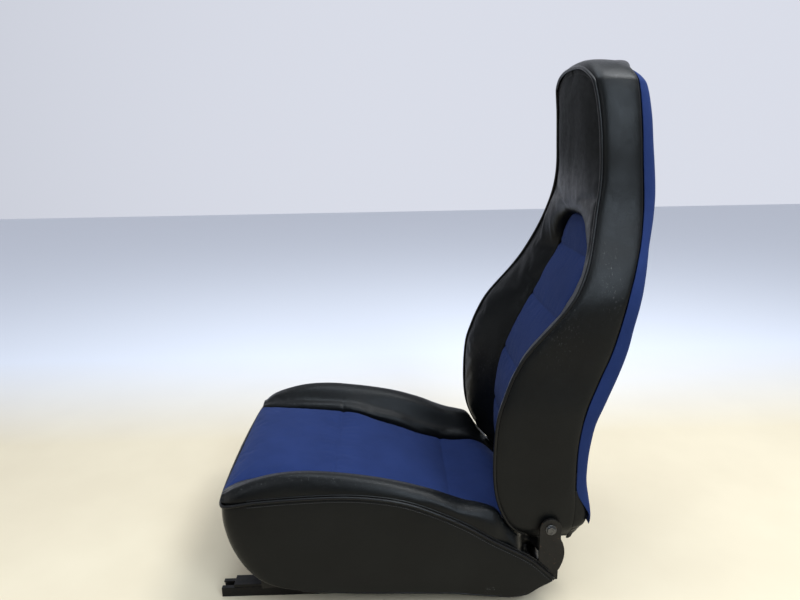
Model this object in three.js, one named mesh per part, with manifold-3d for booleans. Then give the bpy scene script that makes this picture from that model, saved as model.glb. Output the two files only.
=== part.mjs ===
// Reclining high-back sports seat on slide rails. Millimetres, +Z up, the seat faces -Y, its left side is +X.
// The origin is on the floor, at the centre of the seat's outer box.
import * as THREE from 'three';
import Module from 'manifold-3d';
import { mergeVertices } from 'three/addons/utils/BufferGeometryUtils.js';

const wasm = await Module();
wasm.setup();

// ---- driving dimensions ----
const GAP = 0.4; // clearance between pieces that touch
const SOFT_GAP = 2.4; // clearance between two upholstered pieces along a curved seam
const VINYL = 3; // thickness of a vinyl or cloth cover with its scrim foam
const PIPING_R = 3.2;

const RAIL_X = 191; // centre of each slide rail
const RAIL_LENGTH = 540;
const LOWER_RAIL_FRONT = -420;
const UPPER_RAIL_FRONT = -395;
const RAIL_WIDTH = 30;
const LOWER_RAIL_TOP = 20;
const UPPER_RAIL_TOP = 27;
const FRAME_BOTTOM = 45; // the cross members stand on risers welded to the upper rails
const RAIL_WALL = 3;
const FRONT_MEMBER_Y = -300; // the two cross members' places along the rails
const REAR_MEMBER_Y = 78;
const MOUNTING_HOLE_R = 4.5;

const BASE_HALF = 259.5; // half width over the side skirts
const SEAM_X = 171; // where the cushion's cloth meets its bolsters
const MEMBER_X = 244; // inner face of the base frame's side plates
const BRACKET_X = 248; // inner face of the hinge brackets
const PLATE = 4; // thickness of the frame's pressed plates

const PIVOT = new THREE.Vector3(0, 226, 163); // recline axis, along X
const PIVOT_BOLT_R = 5;
const LEVER_PIVOT = new THREE.Vector3(0, 212, 97); // recline lever's axis, along X, on the right
const LEVER_SHAFT_R = 5;
const EAR_X = 214; // inner face of the backrest's hinge ears
const TUBE_R = 11; // backrest frame tube
const TUBE_INSET = 38; // tube centre in front of the back cover

// ---- curves through a few points: smooth functions of one coordinate ----
function curveThrough(points) {
  const at = points.map((p) => p[0]);
  const value = points.map((p) => p[1]);
  const last = points.length - 1;
  const slope = at.map((_, i) => {
    const a = Math.max(i - 1, 0);
    const b = Math.min(i + 1, last);
    return (value[b] - value[a]) / (at[b] - at[a]);
  });
  return (x) => {
    let i = 0;
    while (i < last - 1 && x > at[i + 1]) i++;
    const h = at[i + 1] - at[i];
    const t = Math.min(Math.max((x - at[i]) / h, 0), 1);
    const t2 = t * t;
    const t3 = t2 * t;
    return (2 * t3 - 3 * t2 + 1) * value[i] + (t3 - 2 * t2 + t) * h * slope[i] +
      (3 * t2 - 2 * t3) * value[i + 1] + (t3 - t2) * h * slope[i + 1];
  };
}

const stations = (from, to, count) =>
  Array.from({ length: count }, (_, i) => from + ((to - from) * i) / (count - 1));

// How far to step along a sloping curve's ordinate to move one unit square to the curve.
const slopeFactor = (curve, at) => Math.hypot(1, (curve(at + 2) - curve(at - 2)) / 4);

// ---- solids ----
function ringTriangles(ring) {
  const normal = new THREE.Vector3();
  ring.forEach((a, i) => {
    const b = ring[(i + 1) % ring.length];
    normal.add(new THREE.Vector3(
      (a.y - b.y) * (a.z + b.z), (a.z - b.z) * (a.x + b.x), (a.x - b.x) * (a.y + b.y)));
  });
  normal.normalize();
  const u = new THREE.Vector3().subVectors(ring[1], ring[0]).normalize();
  const v = new THREE.Vector3().crossVectors(normal, u);
  const flat = ring.map((p) => new THREE.Vector2(p.dot(u), p.dot(v)));
  return THREE.ShapeUtils.triangulateShape(flat, []).map(([a, b, c]) => {
    const area = new THREE.Vector2().subVectors(flat[b], flat[a])
      .cross(new THREE.Vector2().subVectors(flat[c], flat[a]));
    return area > 0 ? [a, b, c] : [a, c, b];
  });
}

// A closed solid through a row of rings that all have the same number of points.
function loft(rings) {
  const n = rings[0].length;
  const index = [];
  for (let i = 0; i < rings.length - 1; i++) {
    for (let j = 0; j < n; j++) {
      const a = i * n + j;
      const b = i * n + ((j + 1) % n);
      index.push(a, b, b + n, a, b + n, a + n);
    }
  }
  const end = (rings.length - 1) * n;
  for (const [a, b, c] of ringTriangles(rings[0])) index.push(a, c, b);
  for (const [a, b, c] of ringTriangles(rings.at(-1))) index.push(end + a, end + b, end + c);
  const geometry = new THREE.BufferGeometry().setFromPoints(rings.flat());
  geometry.setIndex(index);
  return geometry;
}

const atZ = (z, points) => points.map(([x, y]) => new THREE.Vector3(x, y, z));
const atY = (y, points) => points.map(([x, z]) => new THREE.Vector3(x, y, z));

function polygon(points) {
  return new THREE.Shape(points.map(([a, b]) => new THREE.Vector2(a, b)));
}

// A plate whose outline is given as [y, z] points, standing between two X values.
function sidePlate(outline, x0, x1, curveSegments = 6) {
  const shape = Array.isArray(outline) ? polygon(outline) : outline;
  const geometry = new THREE.ExtrudeGeometry(shape, { depth: x1 - x0, bevelEnabled: false, curveSegments });
  const axes = [new THREE.Vector3(0, 1, 0), new THREE.Vector3(0, 0, 1), new THREE.Vector3(1, 0, 0)];
  geometry.applyMatrix4(new THREE.Matrix4().makeBasis(...axes));
  return geometry.translate(x0, 0, 0);
}

// A bar whose section is given as [x, z] points, running along Y.
function barAlongY(section, y0, y1) {
  const geometry = new THREE.ExtrudeGeometry(polygon(section), { depth: y1 - y0, bevelEnabled: false });
  const axes = [new THREE.Vector3(-1, 0, 0), new THREE.Vector3(0, 0, 1), new THREE.Vector3(0, 1, 0)];
  geometry.applyMatrix4(new THREE.Matrix4().makeBasis(...axes));
  return geometry.scale(-1, 1, 1).translate(0, y0, 0);
}

function block(x0, x1, y0, y1, z0, z1) {
  return new THREE.BoxGeometry(x1 - x0, y1 - y0, z1 - z0)
    .translate((x0 + x1) / 2, (y0 + y1) / 2, (z0 + z1) / 2);
}

function rodAlongX(radius, x0, x1, y, z, sides = 24) {
  return new THREE.CylinderGeometry(radius, radius, Math.abs(x1 - x0), sides)
    .rotateZ(Math.PI / 2).translate((x0 + x1) / 2, y, z);
}

function rodAlongZ(radius, x, y, z0, z1, sides = 16) {
  return new THREE.CylinderGeometry(radius, radius, z1 - z0, sides)
    .rotateX(Math.PI / 2).translate(x, y, (z0 + z1) / 2);
}

function tube(points, radius, steps, sides = 8, tension = 0.5) {
  const path = new THREE.CatmullRomCurve3(points, false, 'catmullrom', tension);
  const section = polygon(Array.from({ length: sides }, (_, i) => {
    const turn = (2 * Math.PI * i) / sides;
    return [radius * Math.cos(turn), radius * Math.sin(turn)];
  }));
  return new THREE.ExtrudeGeometry(section, { steps, extrudePath: path, bevelEnabled: false });
}

function signedVolume(geometry) {
  const g = geometry.index ? geometry.toNonIndexed() : geometry;
  const p = g.attributes.position;
  const [a, b, c] = [new THREE.Vector3(), new THREE.Vector3(), new THREE.Vector3()];
  let volume = 0;
  for (let i = 0; i < p.count; i += 3) {
    b.fromBufferAttribute(p, i + 1).cross(c.fromBufferAttribute(p, i + 2));
    volume += a.fromBufferAttribute(p, i).dot(b);
  }
  return volume / 6;
}

// Merges shared corners and turns the faces outward.
function closed(geometry) {
  const bare = new THREE.BufferGeometry().setAttribute('position', geometry.attributes.position.clone());
  if (geometry.index) bare.setIndex(geometry.index.clone());
  const merged = mergeVertices(bare, 1e-3);
  if (signedVolume(merged) < 0) {
    const index = merged.index;
    for (let i = 0; i < index.count; i += 3) {
      const b = index.getX(i + 1);
      index.setX(i + 1, index.getX(i + 2));
      index.setX(i + 2, b);
    }
  }
  return merged;
}

function toManifold(geometry) {
  const g = closed(geometry);
  return new wasm.Manifold(new wasm.Mesh({
    numProp: 3,
    vertProperties: new Float32Array(g.attributes.position.array),
    triVerts: new Uint32Array(g.index.array),
  }));
}

function fromManifold(solid) {
  const mesh = solid.getMesh();
  const geometry = new THREE.BufferGeometry();
  geometry.setAttribute('position', new THREE.BufferAttribute(new Float32Array(mesh.vertProperties), 3));
  geometry.setIndex(Array.from(mesh.triVerts));
  return geometry;
}

const cut = (body, ...tools) =>
  fromManifold(tools.reduce((solid, tool) => solid.subtract(toManifold(tool)), toManifold(body)));
const join = (body, ...others) =>
  fromManifold(others.reduce((solid, other) => solid.add(toManifold(other)), toManifold(body)));

// ---- materials ----
const finish = (color, roughness, metalness) =>
  new THREE.MeshStandardMaterial({ color, roughness, metalness });
const vinyl = finish(0x17181a, 0.45, 0);
const cloth = finish(0x1d2f75, 0.9, 0);
const foam = finish(0xcdbb7c, 0.95, 0);
const steelPaint = finish(0x101112, 0.5, 0.6);
const zinc = finish(0x9a9c9e, 0.4, 0.9);
const springSteel = finish(0x4a4b4d, 0.45, 0.9);
const plastic = finish(0x0e0f10, 0.55, 0);
const nylon = finish(0xd8d6cc, 0.5, 0);

const seat = new THREE.Group();

function add(name, geometry, material) {
  const mesh = new THREE.Mesh(closed(geometry), material.clone());
  mesh.geometry.computeVertexNormals();
  mesh.name = name;
  seat.add(mesh);
}

const SIDES = [['left', 1], ['right', -1]];
const mirror = (geometry, side) => (side > 0 ? geometry : geometry.scale(-1, 1, 1));

// ---- slide rails ----
function lowerRail() {
  const half = RAIL_WIDTH / 2;
  const lip = 9;
  const section = [
    [-half, 0], [half, 0], [half, LOWER_RAIL_TOP], [half - lip, LOWER_RAIL_TOP],
    [half - lip, LOWER_RAIL_TOP - RAIL_WALL], [half - RAIL_WALL, LOWER_RAIL_TOP - RAIL_WALL],
    [half - RAIL_WALL, RAIL_WALL], [RAIL_WALL - half, RAIL_WALL],
    [RAIL_WALL - half, LOWER_RAIL_TOP - RAIL_WALL], [lip - half, LOWER_RAIL_TOP - RAIL_WALL],
    [lip - half, LOWER_RAIL_TOP], [-half, LOWER_RAIL_TOP],
  ];
  const rear = LOWER_RAIL_FRONT + RAIL_LENGTH;
  const holes = [LOWER_RAIL_FRONT + 14, rear - 30].map((y) =>
    rodAlongZ(MOUNTING_HOLE_R, 0, y, -1, RAIL_WALL + 1));
  return cut(barAlongY(section, LOWER_RAIL_FRONT, rear), ...holes);
}

function upperRail() {
  const half = RAIL_WIDTH / 2;
  const neck = 5;
  const foot = half - RAIL_WALL - 3;
  const footTop = 16;
  const section = [
    [-foot, 9], [foot, 9], [foot, footTop], [neck, footTop], [neck, UPPER_RAIL_TOP - 6],
    [half, UPPER_RAIL_TOP - 6], [half, UPPER_RAIL_TOP], [-half, UPPER_RAIL_TOP],
    [-half, UPPER_RAIL_TOP - 6], [-neck, UPPER_RAIL_TOP - 6], [-neck, footTop], [-foot, footTop],
  ];
  const riser = [[-half, UPPER_RAIL_TOP - 1], [half, UPPER_RAIL_TOP - 1], [half, FRAME_BOTTOM], [-half, FRAME_BOTTOM]];
  const risers = [FRONT_MEMBER_Y, REAR_MEMBER_Y].map((y) => barAlongY(riser, y - 30, y + 30));
  return join(barAlongY(section, UPPER_RAIL_FRONT, UPPER_RAIL_FRONT + RAIL_LENGTH), ...risers);
}

// A nylon shoe under the slider's foot, running on the lower rail's floor.
function railGlide() {
  const half = RAIL_WIDTH / 2 - RAIL_WALL - 1;
  const inner = half - 1.8;
  const section = [
    [-half, RAIL_WALL + 0.5], [half, RAIL_WALL + 0.5], [half, 14], [inner, 14],
    [inner, 9 - GAP], [-inner, 9 - GAP], [-inner, 14], [-half, 14],
  ];
  return barAlongY(section, UPPER_RAIL_FRONT + 40, UPPER_RAIL_FRONT + RAIL_LENGTH - 60);
}

for (const [side, sign] of SIDES) {
  add(`lower_rail_${side}`, lowerRail().translate(sign * RAIL_X, 0, 0), steelPaint);
  add(`upper_rail_${side}`, upperRail().translate(sign * RAIL_X, 0, 0), steelPaint);
  add(`rail_glide_${side}`, railGlide().translate(sign * RAIL_X, 0, 0), nylon);
}

// ---- base frame ----
const FOAM_REAR = 192;
const foamBottom = curveThrough([
  [-405, 224], [-390, 223.5], [-382, 175], [-366, 145], [-335, 130], [-150, 116], [0, 102], [200, 87],
  [222, 86],
]);
const CUSHION_REAR = 222;
const REAR_TUBE_Y = 205;
const REAR_TUBE_Z = 74;

function sideMember() {
  const top = stations(-330, FOAM_REAR, 6).map((y) => [y, foamBottom(y) - 5]);
  return sidePlate([[-330, 50], [244, 50], [244, 84], ...top.reverse()], MEMBER_X, MEMBER_X + PLATE - GAP);
}

// A pressed hat section across the rails, with its flanges up against the side plates.
function crossMember(y, height) {
  const bottom = FRAME_BOTTOM + GAP;
  const top = bottom + height;
  const section = [
    [y - 30, bottom], [y - 16, bottom], [y - 14, top - PLATE], [y + 14, top - PLATE], [y + 16, bottom],
    [y + 30, bottom], [y + 30, bottom + PLATE], [y + 19, bottom + PLATE], [y + 17, top],
    [y - 17, top], [y - 19, bottom + PLATE], [y - 30, bottom + PLATE],
  ];
  return sidePlate(section, GAP - MEMBER_X, MEMBER_X - GAP);
}

// A zigzag wire spring: its loops swing to both sides of its centre line.
function zigzag(along, across, lift, loops, swing, steps) {
  const points = stations(0, 1, 2 * loops + 1).map((t, i) => {
    const aside = i % 2 ? swing : -swing;
    return along(t).addScaledVector(across, aside).add(lift(t));
  });
  return tube(points, 1.7, steps, 5, 0.8);
}

function seatSpring(x) {
  const from = FRONT_MEMBER_Y + 26;
  const to = REAR_TUBE_Y - 16;
  const along = (t) => new THREE.Vector3(x, from + (to - from) * t, 0);
  const lift = (t) => new THREE.Vector3(0, 0, foamBottom(from + (to - from) * t) - 4);
  return zigzag(along, new THREE.Vector3(1, 0, 0), lift, 5, 20, 32);
}

for (const [side, sign] of SIDES) add(`side_member_${side}`, mirror(sideMember(), sign), steelPaint);
add('front_cross_member', crossMember(FRONT_MEMBER_Y, 74), steelPaint);
add('rear_cross_member', crossMember(REAR_MEMBER_Y, 26), steelPaint);
add('base_rear_tube',
  rodAlongX(10, GAP - MEMBER_X, MEMBER_X - GAP, REAR_TUBE_Y, REAR_TUBE_Z, 16), steelPaint);
[-120, -40, 40, 120].forEach((x, i) => add(`seat_spring_${i + 1}`, seatSpring(x), springSteel));

// ---- seat cushion ----
const pipingHeight = curveThrough([
  [-400, 226], [-350, 236], [-205, 244], [-125, 241], [-52, 228], [5, 206], [63, 177], [117, 143],
  [190, 100], [235, 57],
]);
const crestHeight = curveThrough([
  [-394, 242], [-378, 254], [-345, 268], [-300, 280], [-250, 284], [-195, 281], [-90, 265], [-10, 244],
  [62, 217], [100, 206], [118, 198], [130, 184], [144, 162], [160, 142], [185, 122], [200, 112], [222, 104],
]);
const seamHeight = curveThrough([
  [-405, 227], [-399, 234], [-388, 241], [-350, 246], [-294, 245], [-224, 238], [-160, 229], [-110, 211],
  [-50, 190], [0, 170], [60, 153], [130, 149], [162, 134], [185, 112], [200, 106], [222, 100],
]);
const seamAt = curveThrough([[-398, 200], [-372, 186], [-320, 174], [-250, SEAM_X], [200, SEAM_X]]);
const NOSE_Y = -404;

function cushionInsert() {
  const rings = stations(0, 1, 20).map((t) => {
    const y = NOSE_Y + (CUSHION_REAR - NOSE_Y) * t ** 1.5;
    const half = seamAt(Math.max(y, -395)) - GAP;
    const edge = seamHeight(y);
    const crown = 9 * Math.min(1, (CUSHION_REAR - y) / 60, (y - NOSE_Y + 6) / 20);
    const bottom = foamBottom(y);
    const across = [-1, -0.75, -0.4, 0, 0.4, 0.75, 1];
    const top = across.map((u) => [u * half, edge + crown * (1 - u * u)]).reverse();
    return atY(y, [...top, [-half, bottom], [half, bottom]]);
  });
  return loft(rings);
}

const BOLSTER_FRONT = -393;
const bolsterTail = curveThrough([[120, 0], [140, 6], [168, 8], [188, 60], [222, 60]]); // clear of the hinge
function cushionBolster() {
  const rings = stations(0, 1, 20).map((t) => {
    const y = BOLSTER_FRONT + (CUSHION_REAR - BOLSTER_FRONT) * t ** 1.3;
    const bottom = foamBottom(y - 4);
    const crest = crestHeight(y);
    const seam = Math.max(seamHeight(y) - 1, bottom + 1);
    const inner = seamAt(y) + GAP;
    const nose = Math.max(0, (-354 - y) / 40); // the plan corner rounds off towards the nose
    const tail = bolsterTail(y);
    const outer = BASE_HALF - VINYL - 5 - 16 * nose * nose - tail;
    const side = Math.max(Math.min(pipingHeight(y) - 4, crest - 12), bottom + 1);
    return atY(y, [
      [inner, bottom], [inner, seam], [inner + 0.3 * (outer - inner), seam + 0.55 * (crest - seam)],
      [inner + 0.62 * (outer - inner), crest - 2], [inner + 0.82 * (outer - inner), crest],
      [outer - 3, crest - 7], [outer, side], [outer, bottom],
    ]);
  });
  return loft(rings);
}

// The skirt's lower front runs back from the nose in one sweep, and its hem rises to the rear corner.
const frontSweep = curveThrough([[50, -262], [61, -315], [85, -349], [129, -375], [183, -390], [230, -395]]);
const hemHeight = curveThrough([
  [-262, 50], [-150, 41], [36, 34], [92, 28], [150, 23], [181, 27], [205, 42], [231, 56],
]);
const CORNER = 17;
const SWEEP_ROWS = [78, 95, 115, 140, 170, 200, 222];
const PIPING_STATIONS = stations(-372, 232, 15);
const underPiping = (y) => pipingHeight(y) - (PIPING_R + GAP) * slopeFactor(pipingHeight, y);

function sideSkirt() {
  const front = SWEEP_ROWS.map((z) => [frontSweep(z) + CORNER, z]);
  const top = PIPING_STATIONS.slice(1, -1).map((y) => [y, underPiping(y)]);
  const hem = stations(231, -290, 10).map((y) => [y, hemHeight(Math.max(y, -262))]);
  return sidePlate([...front, ...top, ...hem], BASE_HALF - VINYL, BASE_HALF);
}

// The valance wraps the nose and both front corners, down to the sweep's lower edge.
function frontValance() {
  const rings = SWEEP_ROWS.map((z) => {
    const plan = [
      [BASE_HALF, CORNER - GAP], [BASE_HALF - 3, 8], [BASE_HALF - 10, 1], [BASE_HALF - 24, -4],
      [180, -9], [90, -12],
    ];
    const outer = [...plan, [0, -13], ...plan.map(([x, y]) => [-x, y]).reverse()];
    const middle = new THREE.Vector2(0, 60);
    const inner = outer.map(([x, y], i) => {
      if (i === 0 || i === outer.length - 1) return [x - Math.sign(x) * VINYL, y];
      const toMiddle = new THREE.Vector2(middle.x - x * 0.8, middle.y - y).normalize();
      return [x + toMiddle.x * VINYL, y + toMiddle.y * VINYL];
    }).reverse();
    return atZ(z, [...outer, ...inner].map(([x, y]) => [x, y + frontSweep(z)]));
  });
  return loft(rings);
}

function basePiping() {
  const points = PIPING_STATIONS.map((y) => new THREE.Vector3(BASE_HALF - PIPING_R, y, pipingHeight(y)));
  return tube(points, PIPING_R, 28, 6);
}

add('cushion_insert', cushionInsert(), cloth);
add('front_valance', frontValance(), vinyl);
for (const [side, sign] of SIDES) {
  add(`cushion_bolster_${side}`, mirror(cushionBolster(), sign), vinyl);
  add(`side_skirt_${side}`, mirror(sideSkirt(), sign), vinyl);
  add(`base_piping_${side}`, mirror(basePiping(), sign), vinyl);
}

// ---- backrest outline: half width, front edge, side seam and back, each against height ----
const BACK_BOTTOM = 134;
const BACK_TOP = 1010;
const halfWidth = curveThrough([
  [134, 226], [160, 238], [230, 241], [390, 245], [470, 240], [560, 240], [610, 236], [655, 220], [710, 189],
  [760, 166], [815, 157], [880, 153], [912, 149], [940, 143], [960, 138.5], [975, 133.5], [985, 129], [996, 114],
  [1003, 100], [1010, 79],
]);
const frontEdge = curveThrough([
  [134, 190], [156, 158], [187, 138], [233, 123], [300, 118], [385, 123], [430, 136], [470, 152], [510, 175],
  [576, 232], [615, 260], [675, 287], [760, 309], [815, 316], [880, 314], [940, 309], [985, 302], [1010, 297],
]);
const sideSeam = curveThrough([
  [134, 268], [180, 275], [265, 273], [320, 273], [360, 277], [402, 286], [447, 303], [504, 325], [560, 340],
  [610, 352], [656, 367], [690, 379], [724, 388], [770, 394], [870, 389], [960, 384], [1010, 380],
]);
const backLine = curveThrough([
  [122, 272], [134, 285], [161, 303], [185, 307], [213, 304], [250, 298], [285, 298], [323, 301], [368, 309],
  [406, 324], [459, 346], [508, 362], [557, 371], [686, 400], [711, 408], [740, 417], [771, 422], [800, 422],
  [834, 419], [879, 413.5], [928, 408], [952, 403.5], [975, 398], [990, 391], [1000, 386], [1012, 376],
]);
const insertFace = curveThrough([
  [128, 193], [146, 189], [165, 187], [209, 182], [266, 180], [338, 185], [393, 197], [468, 227], [504, 245], [563, 276], [595, 290],
  [650, 318], [700, 328], [731, 331],
]);
const insertHalf = curveThrough([
  [165, 150], [450, 142], [560, 137], [640, 129], [680, 118], [705, 101], [720, 78], [729, 46],
]);
const tubeLine = (z) => backLine(z) - TUBE_INSET;
const padRear = (z) => (z < 265 ? 203 : tubeLine(z) - TUBE_R - 2); // low down, in front of the hinge ears

const PAD_BOTTOM = 128;
const INSERT_TOP = 729;

function backInsert() {
  return loft(stations(PAD_BOTTOM, INSERT_TOP, 21).map((z) => {
    const half = insertHalf(z) - SOFT_GAP * slopeFactor(insertHalf, z);
    const face = insertFace(z);
    const rear = Math.max(padRear(z), face + 34);
    const across = [-1, -0.75, -0.4, 0, 0.4, 0.75, 1];
    const front = across.map((u) => [u * half, face - 7 * (1 - u * u)]);
    return atZ(z, [...front, [half, rear], [-half, rear]]);
  }));
}

// A bolster's face falls from the piping at its outer edge to the recessed insert.
function backBolster() {
  const top = 742;
  return loft(stations(140, top, 24).map((z) => {
    const outer = halfWidth(z) - VINYL - 4;
    const inner = insertHalf(Math.min(Math.max(z, 165), INSERT_TOP - 14)) + GAP;
    const edge = frontEdge(z) + 4;
    const deep = Math.max(Math.min(insertFace(Math.max(z, 165)), 326), edge + 1);
    const rear = Math.max(padRear(z), edge + 26);
    const at = (u, v) => [inner + u * (outer - inner), deep + v * (edge - deep)];
    return atZ(z, [
      at(0, 0), at(0.25, 0.3), at(0.5, 0.66), at(0.75, 0.92), at(0.93, 1),
      [outer, edge + 3], [outer, rear], [inner, rear],
    ]);
  }));
}

// The headrest's face is nearly flat between its pipings, and its rounded top follows the boxing.
function headrestPad() {
  const rows = [743, 775, 815, 860, 905, 940, 965, 983, 995, 1001];
  return loft(rows.map((z) => {
    const half = halfWidth(z) - VINYL - 4;
    const face = frontEdge(z) + 4;
    const rear = tubeLine(z) - TUBE_R - 2;
    return atZ(z, [
      [-half, face + 3], [-half + 5, face], [-half * 0.5, face - 7], [0, face - 9], [half * 0.5, face - 7],
      [half - 5, face], [half, face + 3], [half, rear], [-half, rear],
    ]);
  }));
}

// The lip under the headrest closes the arch over the insert.
function headrestLip() {
  const lower = 732;
  const half = insertHalf(INSERT_TOP - 14) - SOFT_GAP;
  return loft([lower, 737, 745].map((z) => {
    const face = frontEdge(z) + 5;
    const arch = face + 13 - (z - lower);
    return atZ(z, [
      [-half, face + 9], [-half * 0.5, arch], [half * 0.5, arch],
      [half, face + 9], [half, face + 44], [-half, face + 44],
    ]);
  }));
}

// The boxing is the band between the front piping and the back cover, up one side, over the top and down.
const TOP_CORNER = 985;
const BOXING_TOP = 1018;
const CORNER_AT = 0.86; // where the top corner starts, from 0 at a side's bottom to 1 at the top's middle
const ARCH = { half: 146.2, rise: 75, from: 0.53, power: 0.85 }; // the top edge, an ellipse with square shoulders
function boxingStation(t) {
  let x, z, lean; // lean is the outward direction's angle above level
  if (t <= CORNER_AT) {
    z = BACK_BOTTOM + (TOP_CORNER - BACK_BOTTOM) * (t / CORNER_AT);
    x = halfWidth(z);
    lean = 0.81 * Math.max(0, (z - 900) / 85) ** 3;
  } else {
    const turn = ARCH.from + ((t - CORNER_AT) / (1 - CORNER_AT)) * (Math.PI / 2 - ARCH.from);
    const [across, up] = [Math.max(0, Math.cos(turn)), Math.sin(turn)];
    x = ARCH.half * across ** ARCH.power;
    z = BOXING_TOP - ARCH.rise * (1 - up ** ARCH.power);
    lean = Math.atan2(ARCH.half * up ** 1.15, ARCH.rise * across ** 1.15);
  }
  const out = new THREE.Vector2(Math.cos(lean), Math.sin(lean));
  return { x, z, out, y0: frontEdge(Math.min(z, 1010)), y1: sideSeam(Math.min(z, 1010)) };
}

function boxing(from, to, count, sign = 1) {
  return loft(stations(from, to, count).map((t) => {
    const mirrored = t > 1;
    const { x, z, out, y0, y1 } = boxingStation(mirrored ? 2 - t : t);
    const flip = sign * (mirrored ? -1 : 1);
    const bulge = 2 + 7 * out.y;
    const front = y0 + (PIPING_R + SOFT_GAP) * slopeFactor(frontEdge, z) + (z < 200 ? 1.5 : 0);
    const rear = y1 - SOFT_GAP;
    const at = (y, depth) => new THREE.Vector3(flip * (x + out.x * depth), y, z + out.y * depth);
    const profile = [[0, 0], [0.35, bulge], [0.7, bulge], [1, 0]];
    const skin = (depth) => profile.map(([part, b]) => at(front + part * (rear - front), b - depth));
    return [...skin(0), ...skin(VINYL).reverse()];
  }));
}

function backPiping() {
  const oneSide = [
    ...stations(BACK_BOTTOM + 4, TOP_CORNER, 22).map((z) => [halfWidth(z) - 1.5, frontEdge(z), z]),
    ...[0.25, 0.5, 0.75].map((part) => {
      const { x, z, y0 } = boxingStation(CORNER_AT + (1 - CORNER_AT) * part);
      return [x, y0, z - 2];
    }),
  ];
  const points = [
    ...oneSide.map((p) => new THREE.Vector3(...p)),
    new THREE.Vector3(0, frontEdge(BACK_TOP), BOXING_TOP - 2),
    ...oneSide.map(([x, y, z]) => new THREE.Vector3(-x, y, z)).reverse(),
  ];
  return tube(points, PIPING_R, 66, 6);
}

// The cloth back cover: a shell from one side seam round the back to the other, open underneath.
function backCover() {
  const rows = [
    124, 140, 161, 190, 230, 280, 330, 390, 450, 510, 570, 640, 700, 740, 780, 830, 890, 950, 975, 985, 992,
  ];
  return loft(rows.map((z) => {
    const half = halfWidth(Math.max(z, 140));
    const seam = Math.min(sideSeam(z) + (z < 240 ? (240 - z) * 0.12 : 0), backLine(z) - 8);
    const back = backLine(z);
    const edge = [
      [half, seam], [half - 2, seam + 0.45 * (back - seam)], [half - 9, back - 4], [half - 24, back - 1],
    ];
    const flat = [[half * 0.5, back], [0, back], [-half * 0.5, back]];
    const outer = [...edge, ...flat, ...edge.map(([x, y]) => [-x, y]).reverse()];
    const inner = outer.map(([x, y], i) => {
      const fromEnd = Math.min(i, outer.length - 1 - i);
      const inset = [VINYL, VINYL, VINYL * 0.8, 1.5, 0, 0][Math.min(fromEnd, 5)];
      const forward = [0, 0.6, VINYL * 0.8, VINYL, VINYL, VINYL][Math.min(fromEnd, 5)];
      return [x - Math.sign(x) * inset, y - forward];
    }).reverse();
    return atZ(z, [...outer, ...inner]);
  }));
}

// ---- backrest frame ----
const hoopHalf = curveThrough([[185, 196], [560, 196], [640, 176], [720, 140], [800, 118], [930, 112]]);
function backHoop() {
  const oneSide = stations(188, 930, 12).map((z) => [hoopHalf(z), tubeLine(z), z]);
  const top = [[96, tubeLine(955), 958], [60, tubeLine(968), 972]];
  const half = [...oneSide, ...top];
  const whole = [...half, ...half.map(([x, y, z]) => [-x, y, z]).reverse()];
  return tube(whole.map((p) => new THREE.Vector3(...p)), TUBE_R, 42, 8);
}

function crossTube(z, radius) {
  const reach = hoopHalf(z) - TUBE_R - 4;
  return rodAlongX(radius, -reach, reach, tubeLine(z), z, 12);
}

function backSpring(z) {
  const reach = hoopHalf(z) - TUBE_R - 4;
  const along = (t) => new THREE.Vector3(-reach + 2 * reach * t, tubeLine(z), z);
  return zigzag(along, new THREE.Vector3(0, 0, 1), () => new THREE.Vector3(), 5, 16, 32);
}

add('back_hoop', backHoop(), steelPaint);
add('back_lower_tube', crossTube(215, 8), steelPaint);
add('back_upper_tube', crossTube(770, 8), steelPaint);
[310, 420, 530].forEach((z, i) => add(`back_spring_${i + 1}`, backSpring(z), springSteel));

// ---- recline hinge ----
function circleHole(y, z, radius) {
  const hole = new THREE.Path();
  hole.absarc(y, z, radius, 0, 2 * Math.PI, true);
  return hole;
}

// The ear hangs from the hoop's foot and turns on the pivot bolt.
function hingeEar() {
  const shape = new THREE.Shape();
  shape.absarc(PIVOT.y, PIVOT.z, 20, -Math.PI * 0.95, -0.1, false);
  shape.lineTo(256, 200);
  shape.lineTo(262, 262);
  shape.lineTo(240, 262);
  shape.lineTo(214, 196);
  shape.holes.push(circleHole(PIVOT.y, PIVOT.z, PIVOT_BOLT_R + 0.3));
  return sidePlate(shape, EAR_X, EAR_X + PLATE);
}

// The bracket stands on the base frame's side plate, with a round head about the pivot. The right one also
// carries the recline lever.
function hingeBracket(withLever) {
  const shape = new THREE.Shape();
  shape.absarc(PIVOT.y, PIVOT.z, 21, -0.35, Math.PI + (withLever ? 0.5 : 0), false);
  const foot = withLever ? [[193, 111], [176, 84], [150, 70]] : [[205, 98], [188, 80], [150, 66]];
  for (const [y, z] of [...foot, [150, 54]]) shape.lineTo(y, z);
  shape.lineTo(232, 54);
  shape.lineTo(246, 80);
  shape.quadraticCurveTo(262, 112, 246, 142);
  shape.holes.push(circleHole(PIVOT.y, PIVOT.z, PIVOT_BOLT_R + 0.3));
  if (withLever) shape.holes.push(circleHole(LEVER_PIVOT.y, LEVER_PIVOT.z, LEVER_SHAFT_R + 0.3));
  return sidePlate(shape, BRACKET_X, BRACKET_X + 5);
}

function pivotBolt() {
  const outer = BRACKET_X + 5 + GAP;
  const shank = rodAlongX(PIVOT_BOLT_R, 200, outer + 1, PIVOT.y, PIVOT.z);
  const washer = rodAlongX(10.5, outer, outer + 1.6, PIVOT.y, PIVOT.z);
  const head = rodAlongX(8.5, outer + 1.2, outer + 5.6, PIVOT.y, PIVOT.z, 6);
  return join(shank, washer, head);
}

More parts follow.
